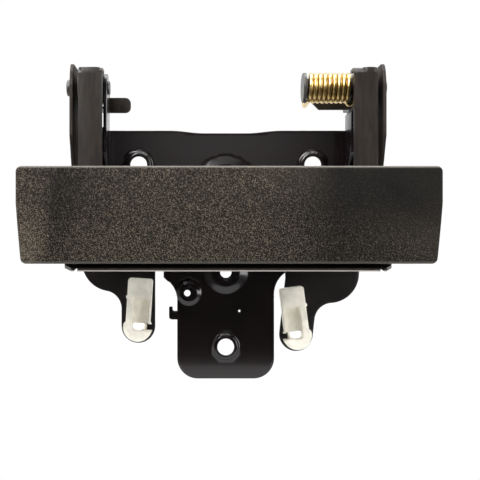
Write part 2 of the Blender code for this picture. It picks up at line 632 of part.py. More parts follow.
def build_handle_bracket():
    """The pressing behind the paddle: a wall with a lower lip, two arms, their horns and their tabs."""
    middle = BRACKET_FRONT + BRACKET_SHEET / 2
    low = BRACKET_BOTTOM + BRACKET_SHEET / 2
    half = BRACKET_HALF_WIDTH
    section = sheet_section([(middle, BRACKET_TOP + 6 * MM), (middle, low + LIP_DROP), (LIP_FRONT, low)],
                            BRACKET_SHEET)
    bracket = add_object("handle_bracket", flat(section, "YZ", -half - 3 * MM, half + 3 * MM), HANDLE)
    trim(bracket, flat(wall_outline(), "XZ", LIP_FRONT - 5 * MM, 0), "wall_edge")
    lip = [(-half - 9 * MM, LIP_FRONT - 5 * MM), (-half - 9 * MM, middle - 1 * MM), (-half, middle - 1 * MM),
           (-half + LIP_CHAMFER, LIP_FRONT + 1 * MM), (-half + LIP_CHAMFER, LIP_FRONT - 5 * MM)]
    root = BRACKET_FRONT - 1.5 * MM
    wide = NOTCH_HALF_WIDTH
    notch = [(-NOTCH_X - wide, LIP_FRONT - 5 * MM), (-NOTCH_X + wide, LIP_FRONT - 5 * MM),
             (-NOTCH_X + wide / 2, root), (-NOTCH_X - wide / 2, root)]
    for name, outline in (("lip_corner", lip), ("notch", notch)):
        for label, shape in (("left_", outline), ("right_", mirrored(outline))):
            cut(bracket, flat(shape, "XY", BRACKET_BOTTOM - 3 * MM, BRACKET_BOTTOM + 5 * MM), label + name)
    for side, label in ((1, "right"), (-1, "left")):
        web, channel, horn, pusher = arm_meshes(ARM_FACES[side])
        clearance = block((WEB_INNER_X - 1 * MM, PIVOT_Y - INNER_EAR_HALF_DEPTH - WEB_CLEARANCE, ARM_ROOT_Z),
                          (ARM_FACES[side], PIVOT_Y + INNER_EAR_HALF_DEPTH, ARM_TOP + 1 * MM))
        if side < 0:
            for mesh in (web, channel, horn, pusher, clearance):
                mirror_mesh(mesh)
        flanges = add_cutter("handle_bracket_" + label + "_flanges", channel)
        trim(flanges, horn, "horn")
        join(flanges, pusher, "pusher")
        face = add_cutter("handle_bracket_" + label + "_web", web)
        cut(face, clearance, "ear_room")
        combine(bracket, face, "UNION")
        combine(bracket, flanges, "UNION")
    hole = PIN_RADIUS + RUNNING
    cut(bracket, cone("X", (PIVOT_Y, PIVOT_Z), -OUTER_EAR_X, OUTER_EAR_X, hole, hole), "pin_holes")
    left_tab = mirrored(tab_outline(ARM_FACES[-1], LEFT_TAB_REACH, LEFT_TAB_LOW, LEFT_TAB_HIGH, 0))
    right_reach = spring_start() - WIRE_RADIUS - TAB_BEYOND_WIRE
    right_tab = tab_outline(ARM_FACES[1], right_reach, RIGHT_TAB_LOW, RIGHT_TAB_HIGH, TAB_SLANT)
    for name, outline in (("left_tab", left_tab), ("right_tab", right_tab)):
        join(bracket, flat(outline, "XZ", TAB_FRONT, TAB_FRONT + BRACKET_SHEET), name)
    for index, place in enumerate(SCREW_PLACES):
        cut(bracket, cone("Y", place, BRACKET_FRONT - 5 * MM, BRACKET_FRONT + 5 * MM, SCREW_RADIUS + RUNNING,
                          SCREW_RADIUS + RUNNING), "screw_hole_%d" % index)
    return finish(bracket, SATIN_BLACK, HANDLE_PIVOT)


def paddle_front(height):
    """How far forward the paddle's face stands at a height: upright above, leaning back below."""
    if height >= PADDLE_LEAN_Z:
        return PADDLE_FRONT
    share = (PADDLE_LEAN_Z - height) / (PADDLE_LEAN_Z - PADDLE_BOTTOM)
    return PADDLE_FRONT + PADDLE_LEAN * share ** 1.4


def paddle_mesh(inset, back):
    """A block with the paddle's face and outline, brought in by an inset on every side but the back."""
    top = PADDLE_TOP - inset
    bottom = PADDLE_BOTTOM + inset
    heights = [bottom + (top - bottom) * step / 10 for step in range(11)]
    side = [(paddle_front(height) + inset, height) for height in heights] + [(back, top), (back, bottom)]
    upper = PADDLE_HALF_WIDTH - inset
    lower = upper - PADDLE_TAPER
    corner = max(PADDLE_CORNER - inset, 0.6 * MM)
    right = arc((upper - corner, top - corner), corner, 90, 0, 5)
    right += [(upper, PADDLE_LEAN_Z)]
    right += arc((lower - corner, bottom + corner), corner, 0, -90, 5)
    outline = right + mirrored(right)
    return flat(side, "YZ", -upper - 5 * MM, upper + 5 * MM), flat(
        outline, "XZ", PADDLE_FRONT - 5 * MM, back + 5 * MM)


def build_paddle():
    """The moulded shell: a thin wall round its face and rim, with ribs and screw bosses behind."""
    rim = BRACKET_FRONT - SEAT
    body, edge = paddle_mesh(0.0, rim)
    paddle = add_object("paddle", body, HANDLE)
    trim(paddle, edge, "edge")
    rounding = paddle.modifiers.new("rounding", "BEVEL")
    rounding.limit_method = "ANGLE"
    rounding.angle_limit = radians(50)
    rounding.width = PADDLE_EDGE
    rounding.segments = 2
    hollow, hollow_edge = paddle_mesh(PADDLE_WALL, rim + 4 * MM)
    core = add_cutter("paddle_core", hollow)
    trim(core, hollow_edge, "edge")
    height = PADDLE_TOP - PADDLE_BOTTOM
    inner_front = PADDLE_FRONT + PADDLE_WALL - 1 * MM
    for index, across in enumerate(RIB_X):
        for side in (-1, 1):
            place = side * across
            cut(core, block((place - RIB_THICKNESS / 2, inner_front, PADDLE_BOTTOM),
                            (place + RIB_THICKNESS / 2, rim - 2 * MM, PADDLE_BOTTOM + height)),
                "rib_%d_%d" % (index, side + 1))
    for index, place in enumerate(SCREW_PLACES):
        cut(core, cone("Y", place, inner_front, rim, BOSS_RADIUS, BOSS_RADIUS, 16), "boss_%d" % index)
    combine(paddle, core, "DIFFERENCE")
    for index, place in enumerate(SCREW_PLACES):
        pilot = SCREW_RADIUS + SEAT
        hole = cone("Y", place, rim - SCREW_LENGTH, rim + 1 * MM, pilot, pilot, 16)
        cut(paddle, hole, "pilot_%d" % index)
    return finish(paddle, TEXTURED_BLACK, HANDLE_PIVOT)


def build_paddle_screws():
    """Four screws through the bracket's wall into the paddle's bosses."""
    seat = BRACKET_FRONT + BRACKET_SHEET + SEAT
    end = BRACKET_FRONT - SEAT - SCREW_LENGTH + 1 * MM
    profile = [(end, SCREW_RADIUS * 0.6), (end + 1 * MM, SCREW_RADIUS), (seat, SCREW_RADIUS),
               (seat, SCREW_HEAD_RADIUS), (seat + SCREW_HEAD_LENGTH * 0.5, SCREW_HEAD_RADIUS),
               (seat + SCREW_HEAD_LENGTH, SCREW_HEAD_RADIUS * 0.62)]
    for number, place in enumerate(SCREW_PLACES, start=1):
        screw = add_object("paddle_screw_%d" % number, turned_mesh(profile, "Y", place, 16), HANDLE)
        finish(screw, ZINC, HANDLE_PIVOT)


def build_left_pin():
    """The left pivot pin: a round head outside, a low stop inside."""
    inside = -(EYE_FACES[-1] - SEAT)
    outside = -(OUTER_EAR_X + SEAT)
    profile = [(outside - PIN_HEAD_LENGTH, PIN_HEAD_RADIUS * 0.7),
               (outside - PIN_HEAD_LENGTH + 0.9 * MM, PIN_HEAD_RADIUS), (outside, PIN_HEAD_RADIUS),
               (outside, PIN_RADIUS), (inside, PIN_RADIUS), (inside, PIN_STOP_RADIUS),
               (inside + PIN_STOP_LENGTH, PIN_STOP_RADIUS * 0.85)]
    pin = add_object("left_pivot_pin", turned_mesh(profile, "X", (PIVOT_Y, PIVOT_Z)), HANDLE)
    return finish(pin, SATIN_BLACK)


def spring_start():
    """Where the coil begins along X, next to the pin's disc head."""
    return EYE_FACES[1] - SEAT - WIRE_RADIUS - SPRING_TURNS * SPRING_PITCH


def build_right_pin():
    """The right pivot pin: a round head outside, a shoulder inside the spring and a disc head at its end."""
    outside = OUTER_EAR_X + SEAT
    shoulder = EYE_FACES[1] - SEAT
    disc = spring_start() - WIRE_RADIUS - SEAT
    profile = [(disc - DISC_HEAD_LENGTH, DISC_HEAD_RADIUS - 0.5 * MM),
               (disc - DISC_HEAD_LENGTH + 0.5 * MM, DISC_HEAD_RADIUS), (disc, DISC_HEAD_RADIUS),
               (disc, PIN_SHOULDER_RADIUS), (shoulder, PIN_SHOULDER_RADIUS), (shoulder, PIN_RADIUS),
               (outside, PIN_RADIUS), (outside, PIN_HEAD_RADIUS),
               (outside + PIN_HEAD_LENGTH - 0.9 * MM, PIN_HEAD_RADIUS),
               (outside + PIN_HEAD_LENGTH, PIN_HEAD_RADIUS * 0.7)]
    pin = add_object("right_pivot_pin", turned_mesh(profile, "X", (PIVOT_Y, PIVOT_Z)), HANDLE)
    return finish(pin, SATIN_BLACK)


def spring_route():
    """The wire's middle line: a leg up the tab's front face, the coil, and a leg down into the ear's hole."""
    start = spring_start()
    tab = TAB_FRONT - SEAT - WIRE_RADIUS
    low = PIVOT_Z - SPRING_RADIUS
    bend = arc((tab - SPRING_LEG_BEND, low + SPRING_LEG_BEND), SPRING_LEG_BEND, 0, -90, 3)
    route = [(start, tab, low + SPRING_LEG_LENGTH)]
    route += [(start, depth, height) for depth, height in bend]
    route.append((start, PIVOT_Y + 3 * MM, low))
    steps_per_turn = 18
    count = int(SPRING_TURNS * steps_per_turn)
    for step in range(count + 1):
        turns = SPRING_TURNS * step / count
        angle = -pi / 2 - 2 * pi * turns
        route.append((start + SPRING_PITCH * turns, PIVOT_Y + SPRING_RADIUS * cos(angle),
                      PIVOT_Z + SPRING_RADIUS * sin(angle)))
    end = start + SPRING_PITCH * SPRING_TURNS
    turn = arc((end + SPRING_LEG_BEND, SPRING_HOLE_Z + SPRING_LEG_BEND), SPRING_LEG_BEND, 180, 270, 3)
    route += [(across, PIVOT_Y + SPRING_RADIUS, height) for across, height in turn]
    route.append((EYE_FACES[1] + EAR_SHEET - SEAT, PIVOT_Y + SPRING_RADIUS, SPRING_HOLE_Z))
    return route


def build_return_spring():
    """The torsion spring on the right pin."""
    route = spring_route()
    curve = bpy.data.curves.new("wire", "CURVE")
    curve.dimensions = "3D"
    curve.bevel_depth = WIRE_RADIUS
    curve.bevel_resolution = 2
    curve.use_fill_caps = True
    spline = curve.splines.new("POLY")
    spline.points.add(len(route) - 1)
    for point, place in zip(spline.points, route):
        point.co = (*place, 1.0)
    holder = add_object("wire", curve, TOOLS)
    mesh = bpy.data.meshes.new_from_object(holder.evaluated_get(bpy.context.evaluated_depsgraph_get()))
    bpy.data.objects.remove(holder)
    return finish(add_object("return_spring", solid(mesh, Matrix.Identity(4)), HANDLE), YELLOW_ZINC)


def build_spacer(side, name):
    """A nylon ring on a pivot pin, between the arm and the outer ear."""
    low = ARM_OUTER_X + SEAT
    ends = sorted((side * low, side * (low + SPACER_LENGTH)))
    centre = (PIVOT_Y, PIVOT_Z)
    ring = add_object(name, cone("X", centre, ends[0], ends[1], SPACER_RADIUS, SPACER_RADIUS), HANDLE)
    hole = PIN_RADIUS + RUNNING
    cut(ring, cone("X", centre, ends[0] - 1 * MM, ends[1] + 1 * MM, hole, hole), "hole")
    return finish(ring, IVORY)


def lever_outline():
    """The right lever in X and Z before its turn: hub, limb, lobe, and the stem's round end."""
    pivot = (0.0, LEVER_PIVOT_Z)
    stem_edge = STEM_X + STEM_RADIUS
    fillet_x = stem_edge + LEVER_FILLET
    gap = LOBE_RADIUS + LEVER_FILLET
    fillet_z = LOBE_Z - (gap * gap - (fillet_x - LOBE_X) ** 2) ** 0.5
    corner = LIMB_CORNER
    inner_stem = STEM_X - STEM_RADIUS
    outline = arc(pivot, HUB_RADIUS, 240, 60, 15)
    outline += [(LIMB_INNER_X - 28 * MM, LIMB_WAIST_Z - 1 * MM), (LIMB_INNER_X - 14 * MM, LIMB_WAIST_Z),
                (LIMB_INNER_X - 4 * MM, LIMB_WAIST_Z + 8 * MM), (LIMB_INNER_X, LIMB_SHOULDER_Z)]
    outline += arc((LIMB_INNER_X + corner, LIMB_TOP - 1 * MM - corner), corner, 180, 100, 4)
    outline += arc((LIMB_OUTER_X - corner, LIMB_TOP - corner), corner, 90, 0, 4)
    outline += arc((LOBE_X, LOBE_Z), LOBE_RADIUS, 5, -78, 14)
    outline += arc((fillet_x, fillet_z), LEVER_FILLET, 100, 180, 8)
    outline += arc((STEM_X, STEM_Z), STEM_RADIUS, 0, -180, 18)
    outline += [(inner_stem, THROAT_Z - THROAT_CORNER)]
    outline += [(inner_stem - 0.6 * MM, THROAT_Z), (inner_stem - 2.4 * MM, THROAT_Z + THROAT_CORNER)]
    return outline


def build_lever(name, outline, hole, front):
    """A lever cut from sheet, with its pivot hole and its clip hole."""
    lever = add_object(name, flat(outline, "XZ", front, front + LEVER_SHEET), HANDLE)
    drill(lever, "pivot_hole", (0, LEVER_PIVOT_Z), RIVET_RADIUS + RUNNING)
    drill(lever, "clip_hole", hole, CLIP_HOLE_RADIUS)
    return finish(lever, SATIN_BLACK, (0, front, LEVER_PIVOT_Z))


def clip_outline():
    """The left rod clip in X and Z about its bore: a round base with a straight arm and a nub outboard."""
    half = CLIP_HALF_WIDTH
    top = CLIP_HEIGHT
    shoulder = CLIP_BASE_RADIUS * sin(radians(CLIP_SHOULDER)) + CLIP_BASE_RADIUS - half
    base = arc((0, 0), CLIP_BASE_RADIUS, 180 - CLIP_SHOULDER, 360 + CLIP_SHOULDER, 18)
    right = arc((half - CLIP_CORNER, top - CLIP_CORNER), CLIP_CORNER, 0, 90, 4)
    left = arc((-half + CLIP_CORNER, top - CLIP_CORNER), CLIP_CORNER, 90, 180, 4)
    nub = [(-half, CLIP_NUB_Z + CLIP_NUB * 1.5), (-half - CLIP_NUB, CLIP_NUB_Z + CLIP_NUB),
           (-half - CLIP_NUB, CLIP_NUB_Z - CLIP_NUB), (-half, CLIP_NUB_Z - CLIP_NUB * 1.5)]
    return base + [(half, shoulder)] + right + left + nub + [(-half, shoulder)]


def build_clip(name, side, hole, lever_front, lean):
    """A nylon rod clip that snaps into the lever: arm, channel, bore, slot and stud."""
    back = lever_front - SEAT
    front = back - CLIP_DEPTH
    outline = clip_outline() if side < 0 else mirrored(clip_outline())
    clip = add_object(name, flat(outline, "XZ", front, back), HANDLE)
    behind = lever_front + LEVER_SHEET + SEAT
    stud = cone("Y", (0, 0), back - 1 * MM, behind + 0.2 * MM, CLIP_STUD_RADIUS, CLIP_STUD_RADIUS)
    join(clip, stud, "stud")
    join(clip, cone("Y", (0, 0), behind, behind + CLIP_LIP_LENGTH, CLIP_HOLE_RADIUS + CLIP_LIP,
                    CLIP_STUD_RADIUS - 0.4 * MM), "lip")
    channel = sorted((side * CHANNEL_OUTBOARD, -side * CHANNEL_INBOARD))
    floor = front + CHANNEL_DEPTH
    cut(clip, block((channel[0], front - 1 * MM, 0), (channel[1], floor, CHANNEL_HIGH)), "channel")
    bore = arc((CLIP_BORE_REACH, 0), CLIP_BORE, -90, 90, 8)
    bore += arc((-CLIP_BORE_REACH, 0), CLIP_BORE, 90, 270, 8)
    cut(clip, flat(bore, "XZ", front - 1 * MM, behind + 3 * MM), "bore")
    slot = sorted((-side * (CLIP_BORE_REACH + CLIP_BORE * 0.5), -side * 2 * CLIP_BASE_RADIUS))
    cut(clip, block((slot[0], front - 1 * MM, ROD_SLOT_LOW), (slot[1], back, ROD_SLOT_HIGH)), "rod_slot")
    finish(clip, IVORY)
    clip.rotation_euler = (0, radians(-side * lean), 0)
    clip.location = (hole[0], 0, hole[1])
    for modifier in clip.modifiers:
        modifier.object.parent = clip
    return clip


def build_rivet_and_washer():
    """The rivet that carries both levers, and the washer under its closed head."""
    floor = DISH_DEPTH - SEAT
    washer_front = LEVER_FRONT + 2 * LEVER_SHEET + 2 * SEAT
    washer_back = washer_front + WASHER_THICKNESS
    closed = washer_back + SEAT
    head = RIVET_HEAD_RADIUS
    profile = [(floor - RIVET_HEAD_LENGTH, head * 0.7), (floor - RIVET_HEAD_LENGTH * 0.55, head * 0.93),
               (floor, head), (floor, RIVET_RADIUS), (closed, RIVET_RADIUS), (closed, head),
               (closed + RIVET_HEAD_LENGTH * 0.55, head * 0.93), (closed + RIVET_HEAD_LENGTH, head * 0.6)]
    centre = (0.0, LEVER_PIVOT_Z)
    finish(add_object("lever_pivot_rivet", turned_mesh(profile, "Y", centre), HANDLE), ZINC)
    ring = cone("Y", centre, washer_front, washer_back, WASHER_RADIUS, WASHER_RADIUS)
    washer = add_object("lever_washer", ring, HANDLE)
    drill(washer, "hole", centre, RIVET_RADIUS + RUNNING)
    finish(washer, ZINC)


clear_scene()
HANDLE = new_collection("tailgate_handle")
TOOLS = new_collection("cutters")

TEXTURED_BLACK = new_material("textured_plastic", (0.045, 0.040, 0.034), 0.55, 0.0)
SATIN_BLACK = new_material("satin_black_steel", (0.040, 0.034, 0.030), 0.40, 0.3)
GLOSS_BLACK = new_material("gloss_black_steel", (0.012, 0.011, 0.012), 0.20, 0.3)
YELLOW_ZINC = new_material("yellow_zinc", (0.62, 0.48, 0.18), 0.28, 1.0)
ZINC = new_material("plain_zinc", (0.55, 0.56, 0.56), 0.35, 1.0)
IVORY = new_material("ivory_nylon", (0.76, 0.73, 0.64), 0.45, 0.0)

HANDLE_PIVOT = (0.0, PIVOT_Y, PIVOT_Z)
EAR_FACES = {-1: INNER_EAR_X - EAR_SHIFT, 1: INNER_EAR_X + EAR_SHIFT}
EYE_FACES = {-1: EAR_FACES[-1], 1: EAR_FACES[1] + EAR_JOG}
ARM_FACES = {side: face + EAR_SHEET + SEAT for side, face in EYE_FACES.items()}
BOLT_PLACES = {
    "left": (-UPPER_HOLE_X, UPPER_HOLE_Z),
    "right": (UPPER_HOLE_X, UPPER_HOLE_Z),
    "lower": (0.0, LOWER_HOLE_Z),
}
SCREW_PLACES = [(side * across, SCREW_Z) for across in SCREW_X for side in (-1, 1)]

build_base_plate()
for hand, hand_name in ((-1, "left"), (1, "right")):
    finish(build_pivot_bracket(hand, hand_name + "_pivot_bracket"), GLOSS_BLACK)
    build_spacer(hand, hand_name + "_pivot_spacer")
build_left_pin()
build_right_pin()
build_return_spring()
build_handle_bracket()
build_paddle()
build_paddle_screws()

LEVER_CENTRE = (0.0, LEVER_PIVOT_Z)
RIGHT_FRONT = LEVER_FRONT + LEVER_SHEET + SEAT
RIGHT_HOLE = turned([(STEM_X, STEM_Z)], LEVER_CENTRE, RIGHT_LEVER_TURN)[0]
build_lever("left_lever", mirrored(lever_outline()), (-STEM_X, STEM_Z), LEVER_FRONT)
build_lever("right_lever", turned(lever_outline(), LEVER_CENTRE, RIGHT_LEVER_TURN), RIGHT_HOLE, RIGHT_FRONT)
build_clip("left_rod_clip", -1, (-STEM_X, STEM_Z), LEVER_FRONT, LEFT_CLIP_LEAN)
build_clip("right_rod_clip", 1, RIGHT_HOLE, RIGHT_FRONT, RIGHT_CLIP_LEAN)
build_rivet_and_washer()
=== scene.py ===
"""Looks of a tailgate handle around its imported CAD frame, with its studio and its camera."""

import logging
from dataclasses import dataclass
from enum import Enum
from math import radians
from typing import Callable, Optional, Sequence, Union

import bmesh
import bpy
import numpy as np
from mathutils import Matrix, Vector
from mathutils.geometry import delaunay_2d_cdt


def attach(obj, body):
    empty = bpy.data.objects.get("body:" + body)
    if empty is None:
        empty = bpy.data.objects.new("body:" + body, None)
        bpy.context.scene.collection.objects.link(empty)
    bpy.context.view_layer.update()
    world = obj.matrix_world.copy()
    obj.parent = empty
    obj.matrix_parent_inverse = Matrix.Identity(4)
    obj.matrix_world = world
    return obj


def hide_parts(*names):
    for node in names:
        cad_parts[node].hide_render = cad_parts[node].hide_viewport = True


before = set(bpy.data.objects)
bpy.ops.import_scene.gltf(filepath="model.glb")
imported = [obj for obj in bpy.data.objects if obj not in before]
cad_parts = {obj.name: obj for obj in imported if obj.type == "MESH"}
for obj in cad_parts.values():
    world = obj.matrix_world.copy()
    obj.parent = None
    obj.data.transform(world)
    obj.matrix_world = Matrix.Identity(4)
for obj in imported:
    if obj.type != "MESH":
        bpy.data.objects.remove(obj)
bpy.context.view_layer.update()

MM = 0.001
SEAT = 0.3 * MM
CHUNK = 3_000_000
LOG = logging.getLogger("tailgate_handle")
Array = np.ndarray
Colour = tuple[float, float, float]
Height = Callable[[Array, Array], Array]


class Body(str, Enum):
    """The CAD bodies that pieces ride on."""

    BASE = "base"
    HANDLE = "handle"
    LEFT_LEVER = "left_lever"
    RIGHT_LEVER = "right_lever"
    LEFT_CLIP = "left_clip"
    RIGHT_CLIP = "right_clip"


class Side(Enum):
    """Which side of the middle plane a piece is on."""

    LEFT = -1
    RIGHT = 1

    @property
    def word(self) -> str:
        """The side's name in lower case."""
        return self.name.lower()


class Axis(Enum):
    """The axis that a turned piece stands on, as the columns of its place."""

    X = (0, 1, 2)
    Y = (1, 2, 0)


# Shader graphs


class Signal:
    """A number that changes over a surface, with Python's own arithmetic."""

    def __init__(self, graph: "Graph", socket: bpy.types.NodeSocket) -> None:
        """Wrap a socket of a graph."""
        self.graph = graph
        self.socket = socket

    def _math(self, operation: str, left: "Term", right: "Term") -> "Signal":
        """Add one Math node."""
        node = self.graph.node("ShaderNodeMath", {"operation": operation}, {0: left, 1: right})
        return Signal(self.graph, node.outputs[0])

    def __add__(self, other: "Term") -> "Signal":
        """Sum."""
        return self._math("ADD", self, other)

    def __sub__(self, other: "Term") -> "Signal":
        """Difference."""
        return self._math("SUBTRACT", self, other)

    def __rsub__(self, other: "Term") -> "Signal":
        """Difference, reflected."""
        return self._math("SUBTRACT", other, self)

    def __mul__(self, other: "Term") -> "Signal":
        """Product."""
        return self._math("MULTIPLY", self, other)

    __radd__ = __add__
    __rmul__ = __mul__

    def step(self, low: float, high: float) -> "Signal":
        """A smooth rise from 0 at low to 1 at high.

        Args:
            low: Value at which the rise begins.
            high: Value at which it ends; below low, the signal falls instead.

        Returns:
            The signal between 0 and 1.
        """
        node = self.graph.node("ShaderNodeMapRange", {"interpolation_type": "SMOOTHSTEP"},
                               {"Value": self, "From Min": low, "From Max": high})
        return Signal(self.graph, node.outputs[0])


Term = Union[Signal, float]


class Graph:
    """A node tree, with short ways to add to it."""

    def __init__(self, tree: bpy.types.NodeTree, coordinates: str) -> None:
        """Clear the tree and take its places from one kind of coordinates."""
        self.tree = tree
        self.tree.nodes.clear()
        self.place = self.node("ShaderNodeTexCoord").outputs[coordinates]

    def node(self, kind: str, settings: Optional[dict] = None, inputs: Optional[dict] = None) -> bpy.types.Node:
        """Add any node.

        Args:
            kind: The node's type.
            settings: Its properties, set first.
            inputs: Values, signals or sockets for its inputs, by name or number.

        Returns:
            The new node.
        """
        node = self.tree.nodes.new(kind)
        for key, value in (settings or {}).items():
            setattr(node, key, value)
        for key, value in (inputs or {}).items():
            self.give(node.inputs[key], value)
        return node

    def give(self, socket: bpy.types.NodeSocket, value: Union[Signal, bpy.types.NodeSocket, float, tuple]) -> None:
        """Give an input its value or its link."""
        if isinstance(value, Signal):
            value = value.socket
        if isinstance(value, bpy.types.NodeSocket):
            self.tree.links.new(value, socket)
        else:
            socket.default_value = value

    def noise(self, size: float, detail: float = 3.0, stretch: Colour = (1.0, 1.0, 1.0)) -> Signal:
        """Soft noise.

        Args:
            size: Size of its blotches in metres.
            detail: Octaves.
            stretch: How much longer the blotches are along each axis.

        Returns:
            The noise, about 0.5.
        """
        scale = tuple(1.0 / (size * along) for along in stretch)
        place = self.node("ShaderNodeMapping", inputs={"Vector": self.place, "Scale": scale}).outputs[0]
        node = self.node("ShaderNodeTexNoise", inputs={"Vector": place, "Scale": 1.0, "Detail": detail})
        return Signal(self, node.outputs[0])

    def pebbles(self, size: float) -> Signal:
        """Distance to the middle of the nearest pebble of a fine grain.

        Args:
            size: The pebbles' size in metres.

        Returns:
            The distance, 0 in the middle of a pebble and about 0.6 between them.
        """
        node = self.node("ShaderNodeTexVoronoi", {"feature": "SMOOTH_F1"},
                         {"Vector": self.place, "Scale": 1.0 / size, "Smoothness": 0.35})
        return Signal(self, node.outputs["Distance"])

    def along(self, axis: str) -> Signal:
        """The place along an axis, in metres."""
        node = self.node("ShaderNodeSeparateXYZ", inputs={0: self.place})
        return Signal(self, node.outputs[axis])

    def mix(self, start: Union[Colour, bpy.types.NodeSocket], end: Union[Colour, bpy.types.NodeSocket],
            share: Signal) -> bpy.types.NodeSocket:
        """Go from one colour to another.

        Args:
            start: The colour at 0.
            end: The colour at 1.
            share: Where between them.

        Returns:
            The mixed colour's socket.
        """
        colours = [(*colour, 1.0) if isinstance(colour, tuple) else colour for colour in (start, end)]
        node = self.node("ShaderNodeMix", {"data_type": "RGBA"}, {0: share, 6: colours[0], 7: colours[1]})
        return node.outputs[2]


class Surface(Graph):
    """A material whose surface is one Principled shader."""

    def __init__(self, name: str) -> None:
        """Start the material, in the object's own coordinates."""
        self.material = bpy.data.materials.new(name)
        self.material.use_nodes = True
        super().__init__(self.material.node_tree, "Object")
        self.shader = self.node("ShaderNodeBsdfPrincipled")
        self.output = self.node("ShaderNodeOutputMaterial", inputs={"Surface": self.shader.outputs[0]})

    def bump(self, height: Signal, depth: float, strength: float = 1.0) -> None:
        """Raise the surface by a height between 0 and 1.

        Args:
            height: The relief.
            depth: Its depth in metres.
            strength: How much of it shows.
        """
        node = self.node("ShaderNodeBump", inputs={"Height": height, "Distance": depth, "Strength": strength})
        self.feed("Normal", node.outputs[0])

    def feed(self, name: str, value: Union[Signal, bpy.types.NodeSocket, float, tuple]) -> None:
        """Give one of the shader's inputs its value or its link."""
        self.give(self.shader.inputs[name], value)


# Finishes


def times(colour: Colour, factor: float) -> Colour:
    """A colour made lighter or darker."""
    return tuple(channel * factor for channel in colour)


@dataclass(frozen=True)
class Finish:
    """A procedural finish and the record's slot that it stands for."""

    slot: str
    colour: Colour
    kind: str = ""

    def paint(self, graph: Surface) -> None:
        """Dress the graph's shader. Each finish has its own way."""
        raise NotImplementedError

    def material(self) -> bpy.types.Material:
        """The finish's material, made once."""
        name = self.slot + self.kind + "_finish"
        if name not in bpy.data.materials:
            self.paint(Surface(name))
        return bpy.data.materials[name]


@dataclass(frozen=True)
class GrainedPlastic(Finish):
    """Moulded black plastic with a fine pebble grain that is smoother towards the upper right."""

    grain: float = 0.5 * MM
    relief: float = 0.35 * MM
    worn: Colour = (0.24, 0.225, 0.20)

    def paint(self, graph: Surface) -> None:
        """Pebbles with dark valleys and crowns lightened as painted glints; the painted light is stronger in the
        middle, at the left end and in the low corners, weaker towards the right, and painted highlights run along the
        rims.
        """
        across, deep, up = (graph.along(axis) for axis in "XYZ")
        coarse = graph.noise(self.grain * 1.9, 3.0)
        # The pebbles' crowns, lightened in the colour as painted glints.
        crown = (graph.pebbles(self.grain) + coarse * 0.8).step(0.92, 0.42)
        # Painted light and shade: the glints are painted stronger in the middle, at the left end and in the low
        # corners, and weaker towards the right.
        from_middle = across + 18 * MM
        middle = (from_middle * from_middle).step((74 * MM) ** 2, 0.0)
        left = (across - up * 0.12).step(-83 * MM, -97 * MM)
        low = up.step(22 * MM, -8 * MM)
        corners = (across.step(0.0, 85 * MM) + across.step(-30 * MM, -80 * MM)) * 0.3
        lift_with_painted_light = 0.16 + middle * 0.72 + left * (0.75 + low * 1.4) + low * corners
        lift_with_painted_light = lift_with_painted_light - across.step(0.0, 70 * MM) * 0.08 + graph.noise(24 * MM, 3.0) * 0.2 - 0.1
        smoother = (across + up * 1.6).step(40 * MM, 140 * MM)
        # Painted highlights along the top and bottom rims of the face, in a lighter tone.
        top_rim = up.step(33.2 * MM, 34.2 * MM) * deep.step(-46.5 * MM, -48.5 * MM)
        low_rim = up.step(-11.0 * MM, -12.2 * MM) * deep.step(-43.0 * MM, -45.0 * MM)
        highlit_rims = top_rim * 0.55 + low_rim * 0.5
        # Painted glints: the colour rises on the pebble crowns, and is more even where the grain is smoother.
        grain = 0.16 + crown * (2.9 + low * 0.7) * (1.0 - smoother * 0.7) + smoother * 0.6
        light = graph.mix((0.0, 0.0, 0.0), self.colour, lift_with_painted_light * grain * 0.5)
        graph.feed("Base Color", graph.mix(light, self.worn, highlit_rims))
        graph.feed("Roughness", 0.62 - crown * 0.16 - highlit_rims * 0.15)
        graph.feed("Specular IOR Level", 0.16)
        graph.bump(crown * (1.0 - smoother * 0.8) + coarse * 0.2, self.relief)


@dataclass(frozen=True)
class BlackPaint(Finish):
    """Baked black paint on steel, from gloss to satin, with a slight orange peel and fine dust."""

    roughness: float = 0.16
    coat: float = 0.4
    peel: float = 0.012 * MM
    dust: Colour = (0.10, 0.095, 0.09)

    def paint(self, graph: Surface) -> None:
        """Orange peel in the relief, and the shade and the sheen each in a way of its own."""
        self.shade(graph)
        self.sheen(graph)
        graph.feed("Coat Roughness", self.roughness * 0.6)
        graph.bump(graph.noise(2.6 * MM, 2.0) + self.patches(graph) * 0.5, self.peel, 0.8)

    def patches(self, graph: Surface) -> Signal:
        """Wide patches of rubbing."""
        return graph.noise(17 * MM, 3.0)

    def specks(self, graph: Surface) -> Signal:
        """Fine specks of dust."""
        return graph.noise(0.55 * MM, 1.0).step(0.72, 0.8)

    def shade(self, graph: Surface) -> None:
        """Colour that wanders from patch to patch, under specks of dust."""
        shade = graph.mix(times(self.colour, 0.8), times(self.colour, 1.35), self.patches(graph).step(0.35, 0.7))
        graph.feed("Base Color", graph.mix(shade, self.dust, self.specks(graph) * 0.35))

    def sheen(self, graph: Surface) -> None:
        """Roughness that rises in the patches and on the dust, under an even coat."""
        graph.feed("Roughness", self.roughness + self.patches(graph) * 0.08 + self.specks(graph) * 0.15)
        graph.feed("Coat Weight", self.coat)


